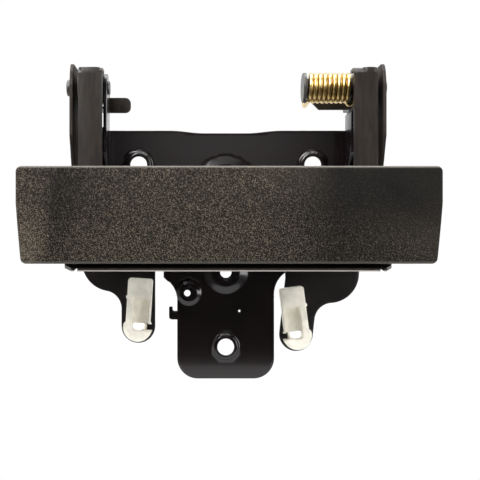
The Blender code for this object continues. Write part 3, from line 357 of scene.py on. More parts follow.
@dataclass(frozen=True)
class EarPaint(BlackPaint):
    """The gloss paint of the ears: bright on the inner pair, dusty and dull on the outer pair."""

    kind: str = "_ears"
    dull: Colour = (0.026, 0.0185, 0.0150)
    inner: float = 69.5 * MM
    outer: float = 72.5 * MM

    def beyond(self, graph: Surface) -> Signal:
        """From 0 on the inner ears to 1 on the outer ones, by the square of the place along X."""
        across = graph.along("X")
        return (across * across).step(self.inner ** 2, self.outer ** 2)

    def smudges(self, graph: Surface) -> Signal:
        """Smudges of dust."""
        return graph.noise(3.1 * MM, 4.0)

    def shade(self, graph: Surface) -> None:
        """Black on the inner ears and dusty brown on the outer ones."""
        share = self.beyond(graph) * (0.4 + self.smudges(graph))
        graph.feed("Base Color", graph.mix(self.colour, self.dull, share))

    def sheen(self, graph: Surface) -> None:
        """The coat and its gloss, both lost on the outer ears."""
        outer = self.beyond(graph)
        graph.feed("Roughness", 0.2 + outer * 0.42 + self.smudges(graph) * 0.12)
        graph.feed("Coat Weight", self.coat * (1.0 - outer))
        graph.feed("Specular IOR Level", 0.32)


@dataclass(frozen=True)
class SatinPaint(BlackPaint):
    """Satin paint with faint upright streaks, and painted highlights along the bends and the front lip."""

    # A lighter colour for the real streaks and for the painted highlight along the bends.
    lift_with_painted_light: Colour = (0.070, 0.052, 0.038)
    # The colour of the painted highlight on the edge of the lip.
    lip_highlight_colour: Colour = (0.42, 0.40, 0.37)

    def shade(self, graph: Surface) -> None:
        """Colour raised by streaks, by a painted highlight in a band at the top of the arms and by a painted highlight
        on the edge of the lip.
        """
        deep, up = graph.along("Y"), graph.along("Z")
        streaks = graph.noise(1.3 * MM, 3.0, (1.0, 1.0, 9.0)).step(0.3, 0.75)
        # Painted highlight in a band along the bend at the top of the arms.
        bend = up.step(86.5 * MM, 88.5 * MM)
        # Painted highlight along the front edge of the lip.
        lip = deep.step(-44.2 * MM, -44.6 * MM) * up.step(-15.5 * MM, -15.9 * MM)
        # The streaks are the paint's own; the band at the bend is painted light.
        worn = graph.mix(times(self.colour, 0.75), self.lift_with_painted_light, streaks * 0.22 + bend * 0.35)
        graph.feed("Base Color", graph.mix(worn, self.lip_highlight_colour, lip * 0.8))
        graph.feed("Specular IOR Level", 0.36)


@dataclass(frozen=True)
class Plating(Finish):
    """Zinc plating: metal whose shade wanders between two tints."""

    tint: Colour = (0.5, 0.5, 0.5)
    roughness: float = 0.27

    def paint(self, graph: Surface) -> None:
        """Cloudy tints with fine drawing marks."""
        cloud = graph.noise(2.4 * MM, 3.0)
        marks = graph.noise(0.3 * MM, 2.0, (1.0, 6.0, 6.0))
        graph.feed("Metallic", 1.0)
        graph.feed("Base Color", graph.mix(self.colour, self.tint, cloud.step(0.3, 0.72)))
        graph.feed("Roughness", self.roughness + marks * 0.12 + cloud * 0.08 - 0.05)
        graph.bump(marks, 0.01 * MM, 0.5)


@dataclass(frozen=True)
class Nylon(Finish):
    """Natural nylon: warm white, slightly mottled, with flow marks."""

    def paint(self, graph: Surface) -> None:
        """Faint mottling and a soft, uneven sheen."""
        mottle = graph.noise(4.5 * MM, 3.0)
        flow = graph.noise(1.4 * MM, 2.0, (1.0, 1.0, 3.0))
        graph.feed("Base Color", graph.mix(times(self.colour, 0.9), times(self.colour, 1.06), mottle.step(0.3, 0.7)))
        graph.feed("Roughness", 0.36 + flow * 0.16)
        graph.bump(flow, 0.03 * MM, 0.5)


GRAIN = GrainedPlastic("textured_plastic", (0.215, 0.176, 0.132))
GLOSS = BlackPaint("gloss_black_steel", (0.0044, 0.0019, 0.0019))
EARS = EarPaint("gloss_black_steel", (0.0060, 0.0045, 0.0050))
SATIN = SatinPaint("satin_black_steel", (0.0100, 0.0060, 0.0036), roughness=0.38, coat=0.05, peel=0.02 * MM)
LIMBS = BlackPaint("satin_black_steel", (0.0060, 0.0038, 0.0034), kind="_levers", roughness=0.32, coat=0.1)
# The pins' copy of the satin black is several times lighter than the others', which paints in part of the light on the
# pins' heads.
PINS = BlackPaint("satin_black_steel", (0.050, 0.045, 0.039), kind="_pins", roughness=0.34, coat=0.1)
YELLOW = Plating("yellow_zinc", (0.62, 0.42, 0.14), tint=(0.86, 0.68, 0.33), roughness=0.24)
ZINC = Plating("plain_zinc", (0.52, 0.53, 0.54), tint=(0.66, 0.66, 0.64), roughness=0.3)
IVORY = Nylon("ivory_nylon", (0.92, 0.88, 0.77))


# Shapes


def smooth(share: Array) -> Array:
    """A rise from 0 to 1 with level ends: 3 s squared less 2 s cubed, of the share held between 0 and 1."""
    share = np.clip(share, 0.0, 1.0)
    return share * share * (3.0 - 2.0 * share)


def arc(centre: Sequence[float], radius: float, start: float, end: float, steps: int = 12) -> Array:
    """Points on a circle: centre plus radius times the cosine and sine of angles from start to end in degrees."""
    angle = np.radians(np.linspace(start, end, steps + 1))
    return np.column_stack([centre[0] + radius * np.cos(angle), centre[1] + radius * np.sin(angle)])


def ring(centre: Sequence[float], radius: float, steps: int = 48) -> Array:
    """A full circle of points, its first point not repeated."""
    return arc(centre, radius, 0.0, 360.0, steps)[:-1]


def mirrored(points: Array) -> Array:
    """An outline on the other side of the middle plane: the first coordinate negated and the order turned round."""
    return points[::-1] * (-1.0, 1.0)


def turned(points: Array, centre: Sequence[float], degrees: float) -> Array:
    """An outline turned clockwise about a centre, by the usual rotation of each point's offset."""
    angle = radians(degrees)
    spin = np.array(((np.cos(angle), -np.sin(angle)), (np.sin(angle), np.cos(angle))))
    return (points - centre) @ spin + centre


def resampled(loop: Array, spacing: float) -> Array:
    """A closed loop with points at most a spacing apart: each edge is cut into equal shares, corners kept."""
    ends = np.roll(loop, -1, axis=0)
    count = np.maximum(1, np.ceil(np.linalg.norm(ends - loop, axis=1) / spacing).astype(int))
    index = np.repeat(np.arange(len(loop)), count)
    share = (np.arange(count.sum()) - np.repeat(np.cumsum(count) - count, count)) / count[index]
    return loop[index] + (ends[index] - loop[index]) * share[:, None]


def edges_and_parts(loops: Sequence[Array], points: Array) -> tuple[Array, Array, list[Array]]:
    """Each edge's start and end, and the points in parts that are small enough to be held against every edge."""
    start = np.concatenate(loops)
    end = np.concatenate([np.roll(loop, -1, axis=0) for loop in loops])
    return start, end, np.array_split(points, 1 + len(points) * len(start) // CHUNK)


def distance(loops: Sequence[Array], points: Array) -> Array:
    """How far each point is from the loops: the least length to any edge, the foot held between its ends."""
    start, end, parts = edges_and_parts(loops, points)
    edge = end - start
    square = np.maximum((edge ** 2).sum(axis=1), 1e-18)
    best = []
    for part in parts:
        offset = part[:, None, :] - start
        share = np.clip((offset * edge).sum(axis=2) / square, 0.0, 1.0)
        best.append(np.linalg.norm(offset - share[:, :, None] * edge, axis=2).min(axis=1))
    return np.concatenate(best)


def within(loops: Sequence[Array], points: Array) -> Array:
    """True where a point is inside: a ray along the first axis crosses the loops' edges an odd number of times."""
    start, end, parts = edges_and_parts(loops, points)
    rise = np.where(end[:, 1] == start[:, 1], 1e-18, end[:, 1] - start[:, 1])
    answer = []
    for part in parts:
        up = part[:, 1:2]
        spans = (start[:, 1] > up) != (end[:, 1] > up)
        reach = start[:, 0] + (end[:, 0] - start[:, 0]) * (up - start[:, 1]) / rise
        answer.append((spans & (part[:, 0:1] < reach)).sum(axis=1) % 2 == 1)
    return np.concatenate(answer)


@dataclass
class Panel:
    """A flat piece between a front and a back surface, cut to an outline, with holes and rounded edges.

    It lies in X and Z, and its surfaces are heights along Y over those two.
    """

    outline: Array
    holes: Sequence[Array] = ()
    creases: Sequence[Array] = ()
    spacing: float = 1.6 * MM
    edge: float = 0.35 * MM

    def triangles(self) -> tuple[Array, Array, Array]:
        """Cut the panel into triangles.

        Points are taken along the loops and creases, on rows just inside them for the rounding, and on a grid.

        Returns:
            The points in X and Z, each point's distance to the edge, and the triangles that are inside.
        """
        loops = [resampled(loop, self.spacing) for loop in (self.outline, *self.holes)]
        creases = [resampled(loop, self.spacing) for loop in self.creases]
        low, high = self.outline.min(axis=0), self.outline.max(axis=0)
        axes = [np.arange(low[i] + self.spacing / 2, high[i], self.spacing) for i in (0, 1)]
        grid = np.stack(np.meshgrid(*axes), axis=-1).reshape(-1, 2)
        grid = grid[within(loops, grid)]
        grid = grid[distance(loops + creases, grid) > max(0.55 * self.spacing, 1.25 * self.edge)]
        rows = [grid]
        for depth in (0.12 * self.edge, 0.45 * self.edge, self.edge):
            for loop in loops:
                along = np.roll(loop, -1, axis=0) - np.roll(loop, 1, axis=0)
                across = np.column_stack([-along[:, 1], along[:, 0]])
                across /= np.maximum(np.linalg.norm(across, axis=1, keepdims=True), 1e-12)
                for side in (-1.0, 1.0):
                    row = loop + side * depth * across
                    row = row[within(loops, row)]
                    rows.append(row[distance(loops, row) > 0.9 * depth])
        count, edges, fixed = 0, [], loops + creases
        for loop in fixed:
            index = np.arange(len(loop)) + count
            edges.append(np.column_stack([index, np.roll(index, -1)]))
            count += len(loop)
        points = np.concatenate(fixed + rows) / MM
        result = delaunay_2d_cdt([Vector(p) for p in points.tolist()], np.concatenate(edges).tolist(), [], 0, 1e-4)
        flat = np.array([tuple(v) for v in result[0]]) * MM
        faces = np.array(result[2])
        faces = faces[within(loops, flat[faces].mean(axis=1))]
        return flat, distance(loops, flat), faces

    def solid(self, front: Height, back: Height) -> tuple[Array, Array, Array]:
        """Close the panel between two surfaces.

        Each surface is rounded off at the edge: a quarter circle of the edge's radius in the distance inwards.

        Args:
            front: Y of the front as a function of X and Z.
            back: Y of the back.

        Returns:
            Vertices, triangles and the walls' quads.
        """
        flat, inward, faces = self.triangles()
        dip = self.edge - np.minimum(inward, self.edge)
        dip = self.edge - np.sqrt(np.maximum(self.edge ** 2 - dip ** 2, 0.0))
        sheets = [np.column_stack([flat[:, 0], surface(flat[:, 0], flat[:, 1]) + sign * dip, flat[:, 1]])
                  for surface, sign in ((front, 1.0), (back, -1.0))]
        size = len(flat)
        pairs = np.concatenate([faces[:, (0, 1)], faces[:, (1, 2)], faces[:, (2, 0)]])
        codes = pairs[:, 0] * size + pairs[:, 1]
        rim = pairs[~np.isin(codes, pairs[:, 1] * size + pairs[:, 0])]
        walls = np.column_stack([rim[:, 1], rim[:, 0], rim[:, 0] + size, rim[:, 1] + size])
        return np.concatenate(sheets), np.concatenate([faces, faces[:, ::-1] + size]), walls


def level(height: float) -> Height:
    """A flat surface."""
    return lambda across, up: np.full_like(across, height)


@dataclass(frozen=True)
class Emboss:
    """A round form pressed into a sheet, flat inside one radius and level with the sheet from another."""

    centre: tuple[float, float]
    foot: float
    flat: float
    depth: float
    even: float = 0.0

    def height(self, across: Array, up: Array) -> Array:
        """The depth times a share that falls from 1 at the flat to 0 at the foot: part straight, part smooth."""
        radius = np.hypot(across - self.centre[0], up - self.centre[1])
        share = np.clip((self.foot - radius) / (self.foot - self.flat), 0.0, 1.0)
        return self.depth * (self.even * share + (1.0 - self.even) * smooth(share))

    def creases(self, steps: int) -> list[Array]:
        """Five circles from the flat to the foot."""
        return [ring(self.centre, float(radius), steps) for radius in np.linspace(self.flat, self.foot, 5)]


def grid_quads(rows: int, columns: int, close_rows: bool, close_columns: bool) -> Array:
    """The quads of a grid of points, joined round where it is closed."""
    row = np.arange(rows if close_rows else rows - 1)[:, None]
    column = np.arange(columns if close_columns else columns - 1)[None, :]
    row, column = np.broadcast_arrays(row, column)
    below, beside = (row + 1) % rows, (column + 1) % columns
    corners = (row * columns + column, row * columns + beside, below * columns + beside, below * columns + column)
    return np.stack([corner.ravel() for corner in corners], axis=1)


def turned_grid(profile: Sequence[Sequence[float]], axis: Axis, centre: Sequence[float], steps: int = 56,
                hollow: bool = False) -> tuple[Array, Array]:
    """A solid of revolution.

    Args:
        profile: Places along the axis with radii, from one end to the other.
        axis: The axis that it stands on.
        centre: Its place across the axis, in the order of the other two axes.
        steps: Points round the axis.
        hollow: True for a ring, whose profile goes round and closes on itself.

    Returns:
        Vertices and quads: at each angle, the radius times cosine and sine about the centre.
    """
    line = np.array(profile if hollow else [(profile[0][0], 0.0), *profile, (profile[-1][0], 0.0)])
    angle = np.linspace(0.0, 2 * np.pi, steps, endpoint=False)
    along = np.repeat(line[:, 0:1], steps, axis=1)
    first = centre[0] + line[:, 1:2] * np.cos(angle)
    second = centre[1] + line[:, 1:2] * np.sin(angle)
    points = np.empty((along.size, 3))
    for column, values in zip(axis.value, (along, first, second)):
        points[:, column] = values.ravel()
    return points, grid_quads(len(line), steps, hollow, True)


def softened(profile: Sequence[Sequence[float]], radius: float = 0.25 * MM) -> Array:
    """A turned profile whose corners are rounded by a short three-point blend of the radius given."""
    line = np.array(profile)
    before, corner, after = line[:-2], line[1:-1], line[2:]
    back, ahead = before - corner, after - corner
    lengths = [np.maximum(np.linalg.norm(arm, axis=1, keepdims=True), 1e-12) for arm in (back, ahead)]
    reach = np.minimum(radius, 0.45 * np.minimum(*lengths))
    start, end = corner + back / lengths[0] * reach, corner + ahead / lengths[1] * reach
    middle = (start + 2 * corner + end) / 4
    blended = np.stack([start, middle, end], axis=1).reshape(-1, 2)
    return np.concatenate([line[:1], blended, line[-1:]])


def ring_section(corners: Sequence[Sequence[float]], radius: float = 0.2 * MM) -> Array:
    """The closed section of a ring: its first corner is cut off aslant, and the others are rounded by the radius."""
    return softened([*corners, corners[0]], radius)[1:-1]


def tube(path: Array, guide: Array, radius: float, sides: int = 14) -> tuple[Array, Array]:
    """A round wire along a path.

    At each point the section's two directions are the guide less its part along the path, and their cross product.

    Args:
        path: The wire's middle line.
        guide: A direction at each point, nowhere parallel to the path.
        radius: The wire's radius.
        sides: Points round the wire.

    Returns:
        Vertices and quads, with both ends closed to a point.
    """
    ahead = np.gradient(path, axis=0)
    ahead /= np.linalg.norm(ahead, axis=1, keepdims=True)
    first = guide - (guide * ahead).sum(axis=1, keepdims=True) * ahead
    first /= np.linalg.norm(first, axis=1, keepdims=True)
    second = np.cross(ahead, first)
    angle = np.linspace(0.0, 2 * np.pi, sides, endpoint=False)
    ends = np.array((0.0, 0.7, 1.0))
    size = radius * np.concatenate([ends, np.ones(len(path)), ends[::-1]])
    shift = radius * np.array((-0.35, -0.25, 0.0))
    lift = np.concatenate([shift, np.zeros(len(path)), -shift[::-1]])
    path, ahead, first, second = (np.concatenate([line[[0, 0, 0]], line, line[[-1, -1, -1]]])
                                  for line in (path, ahead, first, second))
    centre = path + ahead * lift[:, None]
    points = (centre[:, None] + size[:, None, None] * (
        first[:, None] * np.cos(angle)[:, None] + second[:, None] * np.sin(angle)[:, None]))
    return points.reshape(-1, 3), grid_quads(len(path), sides, False, True)[:, ::-1]


def linked(name: str, data: bpy.types.ID) -> bpy.types.Object:
    """A new object of the data, linked to the scene."""
    thing = bpy.data.objects.new(name, data)
    bpy.context.scene.collection.objects.link(thing)
    return thing


def add_piece(name: str, points: Array, faces: Sequence[Array], finish: Finish, body: Body,
              stands_for: Sequence[str] = (), sharp: float = 40.0) -> bpy.types.Object:
    """Make a piece, weld it, turn its faces outwards and let it ride on its body.

    Args:
        name: The piece's name.
        points: Its vertices in the row frame.
        faces: Arrays of triangles or quads.
        finish: What it is dressed in.
        body: The CAD body that it moves with.
        stands_for: The CAD nodes that it replaces.
        sharp: Edges steeper than this, in degrees, stay sharp.

    Returns:
        The new object.
    """
    mesh = bpy.data.meshes.new(name)
    mesh.from_pydata(points.tolist(), [], [face for group in faces for face in group.tolist()])
    return place_piece(name, mesh, finish, body, stands_for, sharp)


def place_piece(name: str, mesh: bpy.types.Mesh, finish: Finish, body: Body, stands_for: Sequence[str],
                sharp: float) -> bpy.types.Object:
    """Weld a mesh, smooth it but for its sharp edges, dress it and link it."""
    work = bmesh.new()
    work.from_mesh(mesh)
    bmesh.ops.remove_doubles(work, verts=work.verts, dist=1e-6)
    bmesh.ops.dissolve_degenerate(work, edges=work.edges, dist=1e-7)
    bmesh.ops.recalc_face_normals(work, faces=work.faces)
    work.to_mesh(mesh)
    work.free()
    mesh.shade_smooth()
    mesh.set_sharp_from_angle(angle=radians(sharp))
    mesh.materials.clear()
    mesh.materials.append(finish.material())
    piece = linked(name, mesh)
    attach(piece, body.value)
    if stands_for:
        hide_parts(*stands_for)
    LOG.info("%s: %d faces", name, len(mesh.polygons))
    return piece


def softened_copy(node: str, finish: Finish, body: Body, rounding: float = 0.25 * MM) -> bpy.types.Object:
    """A welded copy of a CAD node with smooth folds and slightly rounded edges.

    Args:
        node: The CAD node's name.
        finish: What the copy is dressed in.
        body: Its body.
        rounding: Width of the rounding along its edges.

    Returns:
        The copy, which replaces the node.
    """
    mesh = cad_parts[node].data.copy()
    piece = place_piece(node + "_skin", mesh, finish, body, [node], 32.0)
    bevel = piece.modifiers.new("edges", "BEVEL")
    bevel.width = rounding
    bevel.segments = 2
    bevel.limit_method = "ANGLE"
    bevel.angle_limit = radians(50)
    bevel.harden_normals = False
    return piece


# Sub-assemblies


@dataclass
class BasePlate:
    """The stamped plate with its dish, dimples, pads and holes."""

    half_width: float = 79.3 * MM
    top: float = 57.4 * MM
    dip: float = 1.4 * MM
    sheet: float = 1.8 * MM
    tongue: float = 25.9 * MM
    bottom: float = -75.1 * MM
    corner: float = 11.0 * MM
    hook_z: float = -39.0 * MM
    hole: float = 4.45 * MM
    small_hole: tuple[float, float] = (-20.5 * MM, -29.4 * MM)
    dish: Emboss = Emboss((0.0, 25 * MM), 14.5 * MM, 11.0 * MM, 7.9 * MM)
    collar: Emboss = Emboss((0.0, 25 * MM), 18.9 * MM, 13.7 * MM, 1.3 * MM, 1.0)
    large: Emboss = Emboss((0.0, -18.2 * MM), 12.5 * MM, 6.7 * MM, 2.5 * MM, 0.75)
    small: Emboss = Emboss((-19.7 * MM, -29.4 * MM), 7.0 * MM, 4.2 * MM, 1.5 * MM, 0.75)
    pads: tuple[Emboss, ...] = tuple(Emboss((across * MM, up * MM), 7.6 * MM, 6.0 * MM, 1.5 * MM)
                                     for across, up in ((-46.4, 39.0), (46.4, 39.0), (0.0, -58.1)))

    def outline(self) -> Array:
        """The plate's edge: a dip at the top, wings, a flare and a stepped side, a hook and a rounded tongue."""
        share = np.linspace(0.0, 1.0, 13)
        dip = np.column_stack([(11.0 + 19.0 * share) * MM,
                               self.top - self.dip + self.dip * (1 - np.cos(np.pi * share)) / 2])
        wing = np.array([(self.half_width - 2 * MM, self.top), (self.half_width, self.top - 2 * MM),
                         (self.half_width, 4 * MM), (62 * MM, -8 * MM)])
        right = np.concatenate([dip, wing])
        flare = arc((self.tongue + 14 * MM, -30 * MM), 14 * MM, 100, 180, 20)
        corner = arc((self.tongue - self.corner, self.bottom + self.corner), self.corner, 0, -90, 20)
        edge, low = -self.tongue, self.hook_z
        tip = edge - 4.4 * MM
        hook = np.concatenate([[(edge, low - 4.6 * MM)], arc((tip + 1.6 * MM, low - 3.0 * MM), 1.6 * MM, 270, 180, 6),
                               arc((tip + 0.7 * MM, low + 1.7 * MM), 0.7 * MM, 180, 90, 4),
                               arc((tip + 1.4 * MM, low + 1.8 * MM), 0.6 * MM, 90, 0, 4),
                               arc((tip + 3.0 * MM, low + 1.0 * MM), 1.0 * MM, 180, 270, 4), [(edge, low)]])
        side = arc((edge - 14 * MM, -33.5 * MM), 14 * MM, 0, 45, 12)
        steps = np.array([(-31 * MM, -23.2 * MM), (-33.2 * MM, -21 * MM), (-33.2 * MM, -10 * MM)])
        return np.concatenate([right, flare, corner, mirrored(corner), hook, side, steps, mirrored(right)])

    def relief(self, across: Array, up: Array) -> Array:
        """How far back the sheet is pressed: the dish, less its collar inside which it falls, dimples and pads."""
        radius = np.hypot(across - self.dish.centre[0], up - self.dish.centre[1])
        fade = smooth((radius - 11.5 * MM) / (2.2 * MM))
        depth = self.dish.height(across, up) - self.collar.height(across, up) * fade
        return depth - sum(raised.height(across, up) for raised in (self.large, self.small, *self.pads))

    def build(self) -> None:
        """Make the plate and dress it."""
        holes = [ring(pad.centre, self.hole) for pad in self.pads]
        holes += [ring(self.large.centre, 3 * MM, 36), ring(self.small_hole, 1.7 * MM, 24),
                  ring((7.3 * MM, -39 * MM), 0.6 * MM, 16), ring(self.dish.centre, 4.3 * MM)]
        creases = [ring(self.dish.centre, radius * MM, 96) for radius in (11.0, 11.9, 12.8, 13.7, 14.5, 16.5, 18.9)]
        creases += self.large.creases(72) + self.small.creases(48)
        creases += [crease for pad in self.pads for crease in pad.creases(64)]
        panel = Panel(self.outline(), holes, creases, 1.5 * MM, 0.3 * MM)
        points, faces, walls = panel.solid(self.relief, lambda x, z: self.relief(x, z) + self.sheet)
        add_piece("stamped_plate", points, (faces, walls), GLOSS, Body.BASE, ["base_plate"])


@dataclass
class Levers:
    """The two crossing levers behind the plate."""

    pivot: tuple[float, float] = (0.0, 25 * MM)
    stem: tuple[float, float] = (47.3 * MM, -48 * MM)
    stem_radius: float = 9.2 * MM
    lobe: tuple[float, float] = (61.8 * MM, -12.8 * MM)
    lobe_radius: float = 16.3 * MM
    fillet: float = 9.8 * MM
    sheet: float = 2.0 * MM
    right_turn: float = 6.3

    def outline(self) -> Array:
        """The right lever before its turn: hub, limb, lobe, fillet, and the stem's round end.

        The fillet's centre is beside the stem, at its own and the lobe's radius together from the lobe's centre.
        """
        fillet_x = self.stem[0] + self.stem_radius + self.fillet
        fillet_z = self.lobe[1] - np.sqrt((self.lobe_radius + self.fillet) ** 2 - (fillet_x - self.lobe[0]) ** 2)
        inner = self.stem[0] - self.stem_radius
        parts = [arc(self.pivot, 12.5 * MM, 240, 60, 40), [(40 * MM, 31 * MM), (54 * MM, 32 * MM)],
                 [(64 * MM, 40 * MM), (68 * MM, 50 * MM)],
                 arc((70 * MM, 66.6 * MM), 2 * MM, 180, 100, 8), arc((73 * MM, 67.6 * MM), 2 * MM, 90, 0, 8),
                 arc(self.lobe, self.lobe_radius, 5, -78, 30), arc((fillet_x, fillet_z), self.fillet, 100, 180, 18),
                 arc(self.stem, self.stem_radius, 0, -180, 40),
                 [(inner, -18 * MM), (inner - 0.6 * MM, -14 * MM), (inner - 2.4 * MM, -10 * MM)]]
        return np.concatenate([np.array(part) for part in parts])

    def front(self, side: Side) -> float:
        """Y of a lever's front, the right one behind the left."""
        return 10.0 * MM if side is Side.LEFT else 12.3 * MM

    def clip_hole(self, side: Side) -> Array:
        """Where the clip's stud sits."""
        if side is Side.LEFT:
            return np.array((-self.stem[0], self.stem[1]))
        return turned(np.array([self.stem]), self.pivot, self.right_turn)[0]

    def build(self, side: Side) -> None:
        """Make one lever.

        Args:
            side: The side that it hangs on.
        """
        outline = mirrored(self.outline()) if side is Side.LEFT else turned(self.outline(), self.pivot, self.right_turn)
        front = self.front(side)
        holes = [ring(self.pivot, 4.3 * MM), ring(self.clip_hole(side), 4.9 * MM)]
        panel = Panel(outline, holes, (), 2.0 * MM, 0.35 * MM)
        points, faces, walls = panel.solid(level(front), level(front + self.sheet))
        node = side.word + "_lever"
        add_piece(node + "_plate", points, (faces, walls), LIMBS, Body(node), [node])


@dataclass
class RodClip:
    """A nylon clip that snaps into a lever and holds a latch rod."""

    side: Side
    hole: Array
    back: float
    lean: float
    depth: float = 6.7 * MM
    recess: float = 4.2 * MM
    bore: float = 3.2 * MM
    stud: float = 4.6 * MM
    barb: float = 5.6 * MM

    def outline(self) -> Array:
        """The left clip about its bore: a round base, a straight arm with a nub, and the rod's way into the bore."""
        bore = [arc((1.05, 0), 2.05, -47, -90, 5), arc((-1.05, 0), 2.05, 270, 90, 18), arc((1.05, 0), 2.05, 90, 77, 3)]
        arm = [[(7.3, 2.0), (6.6, 2.82)], arc((5.1, 24.7), 1.5, 0, 90, 8), arc((-5.1, 24.7), 1.5, 90, 180, 8),
               [(-6.6, 16.8), (-7.2, 16.5), (-7.2, 15.3), (-6.6, 15.0), (-6.6, 2.82)]]
        return np.concatenate([arc((0, 0), 7.8, 168, 349, 36), *bore, *arm]) * MM

    def face(self, across: Array, up: Array) -> Array:
        """The front's height: a recess above the bore, from the thick outboard wall to the thin inboard one."""
        inside = smooth((across + 3.2 * MM) / (0.3 * MM) + 0.5) * smooth((5.6 * MM - across) / (0.3 * MM) + 0.5)
        recess = inside * smooth(up / (0.3 * MM) + 0.5) * smooth((15.4 * MM - up) / (0.3 * MM) + 0.5)
        return self.back - self.depth + self.recess * recess

    def build(self) -> None:
        """Make the clip's body and its stud, each closed."""
        middle, half = np.array((1.2, 7.7)) * MM, np.array((4.4, 7.7)) * MM
        corners = np.array([(-1, -1), (1, -1), (1, 1), (-1, 1)])
        creases = [middle + corners * (half + step) for step in (-0.15 * MM, 0.15 * MM)]
        panel = Panel(self.outline(), (), creases, 0.8 * MM, 0.3 * MM)
        points, faces, walls = panel.solid(self.face, level(self.back))
        front, behind, tip = (self.back + step * MM for step in (-0.5, 2.6, 3.8))
        section = ring_section([(front, self.bore), (front, self.stud), (behind, self.stud), (behind, self.barb),
                                (tip, self.stud - 0.4 * MM), (tip, self.bore)], 0.15 * MM)
        collar, quads = turned_grid(section, Axis.Y, (0, 0), 48, True)
        for name, part, groups, nodes in (("_clip_arm", points, (faces, walls), [self.side.word + "_rod_clip"]),
                                          ("_clip_stud", collar, (quads,), [])):
            place = part * (-self.side.value, 1.0, 1.0)
            place[:, (0, 2)] = turned(place[:, (0, 2)], (0.0, 0.0), -self.side.value * self.lean) + self.hole
            add_piece(self.side.word + name, place, groups, IVORY, Body(self.side.word + "_clip"), nodes)


@dataclass
class Paddle:
    """The moulded paddle: a shell with a grained face, a rounded rim, ribs and screw bosses behind."""

    half_width: float = 102.5 * MM
    taper: float = 1.6 * MM
    top: float = 34.5 * MM
    bottom: float = -12.6 * MM
    front: float = -50.0 * MM
    rim: float = -34.7 * MM
    lean_from: float = 17.0 * MM
    lean: float = 3.5 * MM
    wall: float = 2.4 * MM
    corner: float = 2.8 * MM
    ribs: tuple[float, ...] = (-88 * MM, -20 * MM, 20 * MM, 88 * MM)
    screws: tuple[float, ...] = (-70 * MM, -38 * MM, 38 * MM, 70 * MM)
    screw_z: float = 9 * MM

    def outline(self) -> Array:
        """A long bar, a little narrower at the bottom, with small round corners."""
        lower = self.half_width - self.taper
        right = np.concatenate([
            arc((self.half_width - self.corner, self.top - self.corner), self.corner, 90, 0, 8),
            [(self.half_width, self.lean_from)],
            arc((lower - self.corner, self.bottom + self.corner), self.corner, 0, -90, 8)])
        return np.concatenate([right, mirrored(right)])

    def face(self, across: Array, up: Array) -> Array:
        """The front: upright above, and leaning back below by the lean times the share of the way down to 1.4."""
        share = np.clip((self.lean_from - up) / (self.lean_from - self.bottom), 0.0, 1.0)
        return self.front + self.lean * share ** 1.4

    def inside(self, across: Array, up: Array) -> Array:
        """The back: a wall's thickness behind the front, but out to the rim at the edge, the ribs and the bosses."""
        skin = self.face(across, up) + self.wall
        solid = smooth((self.wall - distance([self.outline()], np.column_stack([across, up]))) / (0.3 * MM) + 0.5)
        for rib in self.ribs:
            near = np.abs(across - rib)
            solid = np.maximum(solid, 0.82 * smooth((0.8 * MM - near) / (0.2 * MM) + 0.5))
        for screw in self.screws:
            radius = np.hypot(across - screw, up - self.screw_z)
            solid = np.maximum(solid, smooth((3.8 * MM - radius) / (0.3 * MM) + 0.5))
        return skin + (self.rim - skin) * solid

    def build(self) -> None:
        """Make the shell and dress it."""
        low, high = self.bottom + 1 * MM, self.top - 1 * MM
        creases = [ring((screw, self.screw_z), radius * MM, 40) for screw in self.screws for radius in (3.65, 3.95)]
        for depth in (self.wall - 0.15 * MM, self.wall + 0.15 * MM):
            half = self.half_width - depth
            slant = half - self.taper
            creases.append(np.array([(slant, self.bottom + depth), (half, self.lean_from), (half, self.top - depth),
                                     (-half, self.top - depth), (-half, self.lean_from),
                                     (-slant, self.bottom + depth)]))
        for rib in self.ribs:
            for half in (0.7 * MM, 0.9 * MM):
                creases.append(np.array([(rib - half, low + 2 * MM), (rib + half, low + 2 * MM),
                                         (rib + half, high - 2 * MM), (rib - half, high - 2 * MM)]))
        panel = Panel(self.outline(), (), creases, 2.2 * MM, 1.3 * MM)
        points, faces, walls = panel.solid(self.face, self.inside)
        add_piece("paddle_shell", points, (faces, walls), GRAIN, Body.HANDLE, ["paddle"], 50.0)


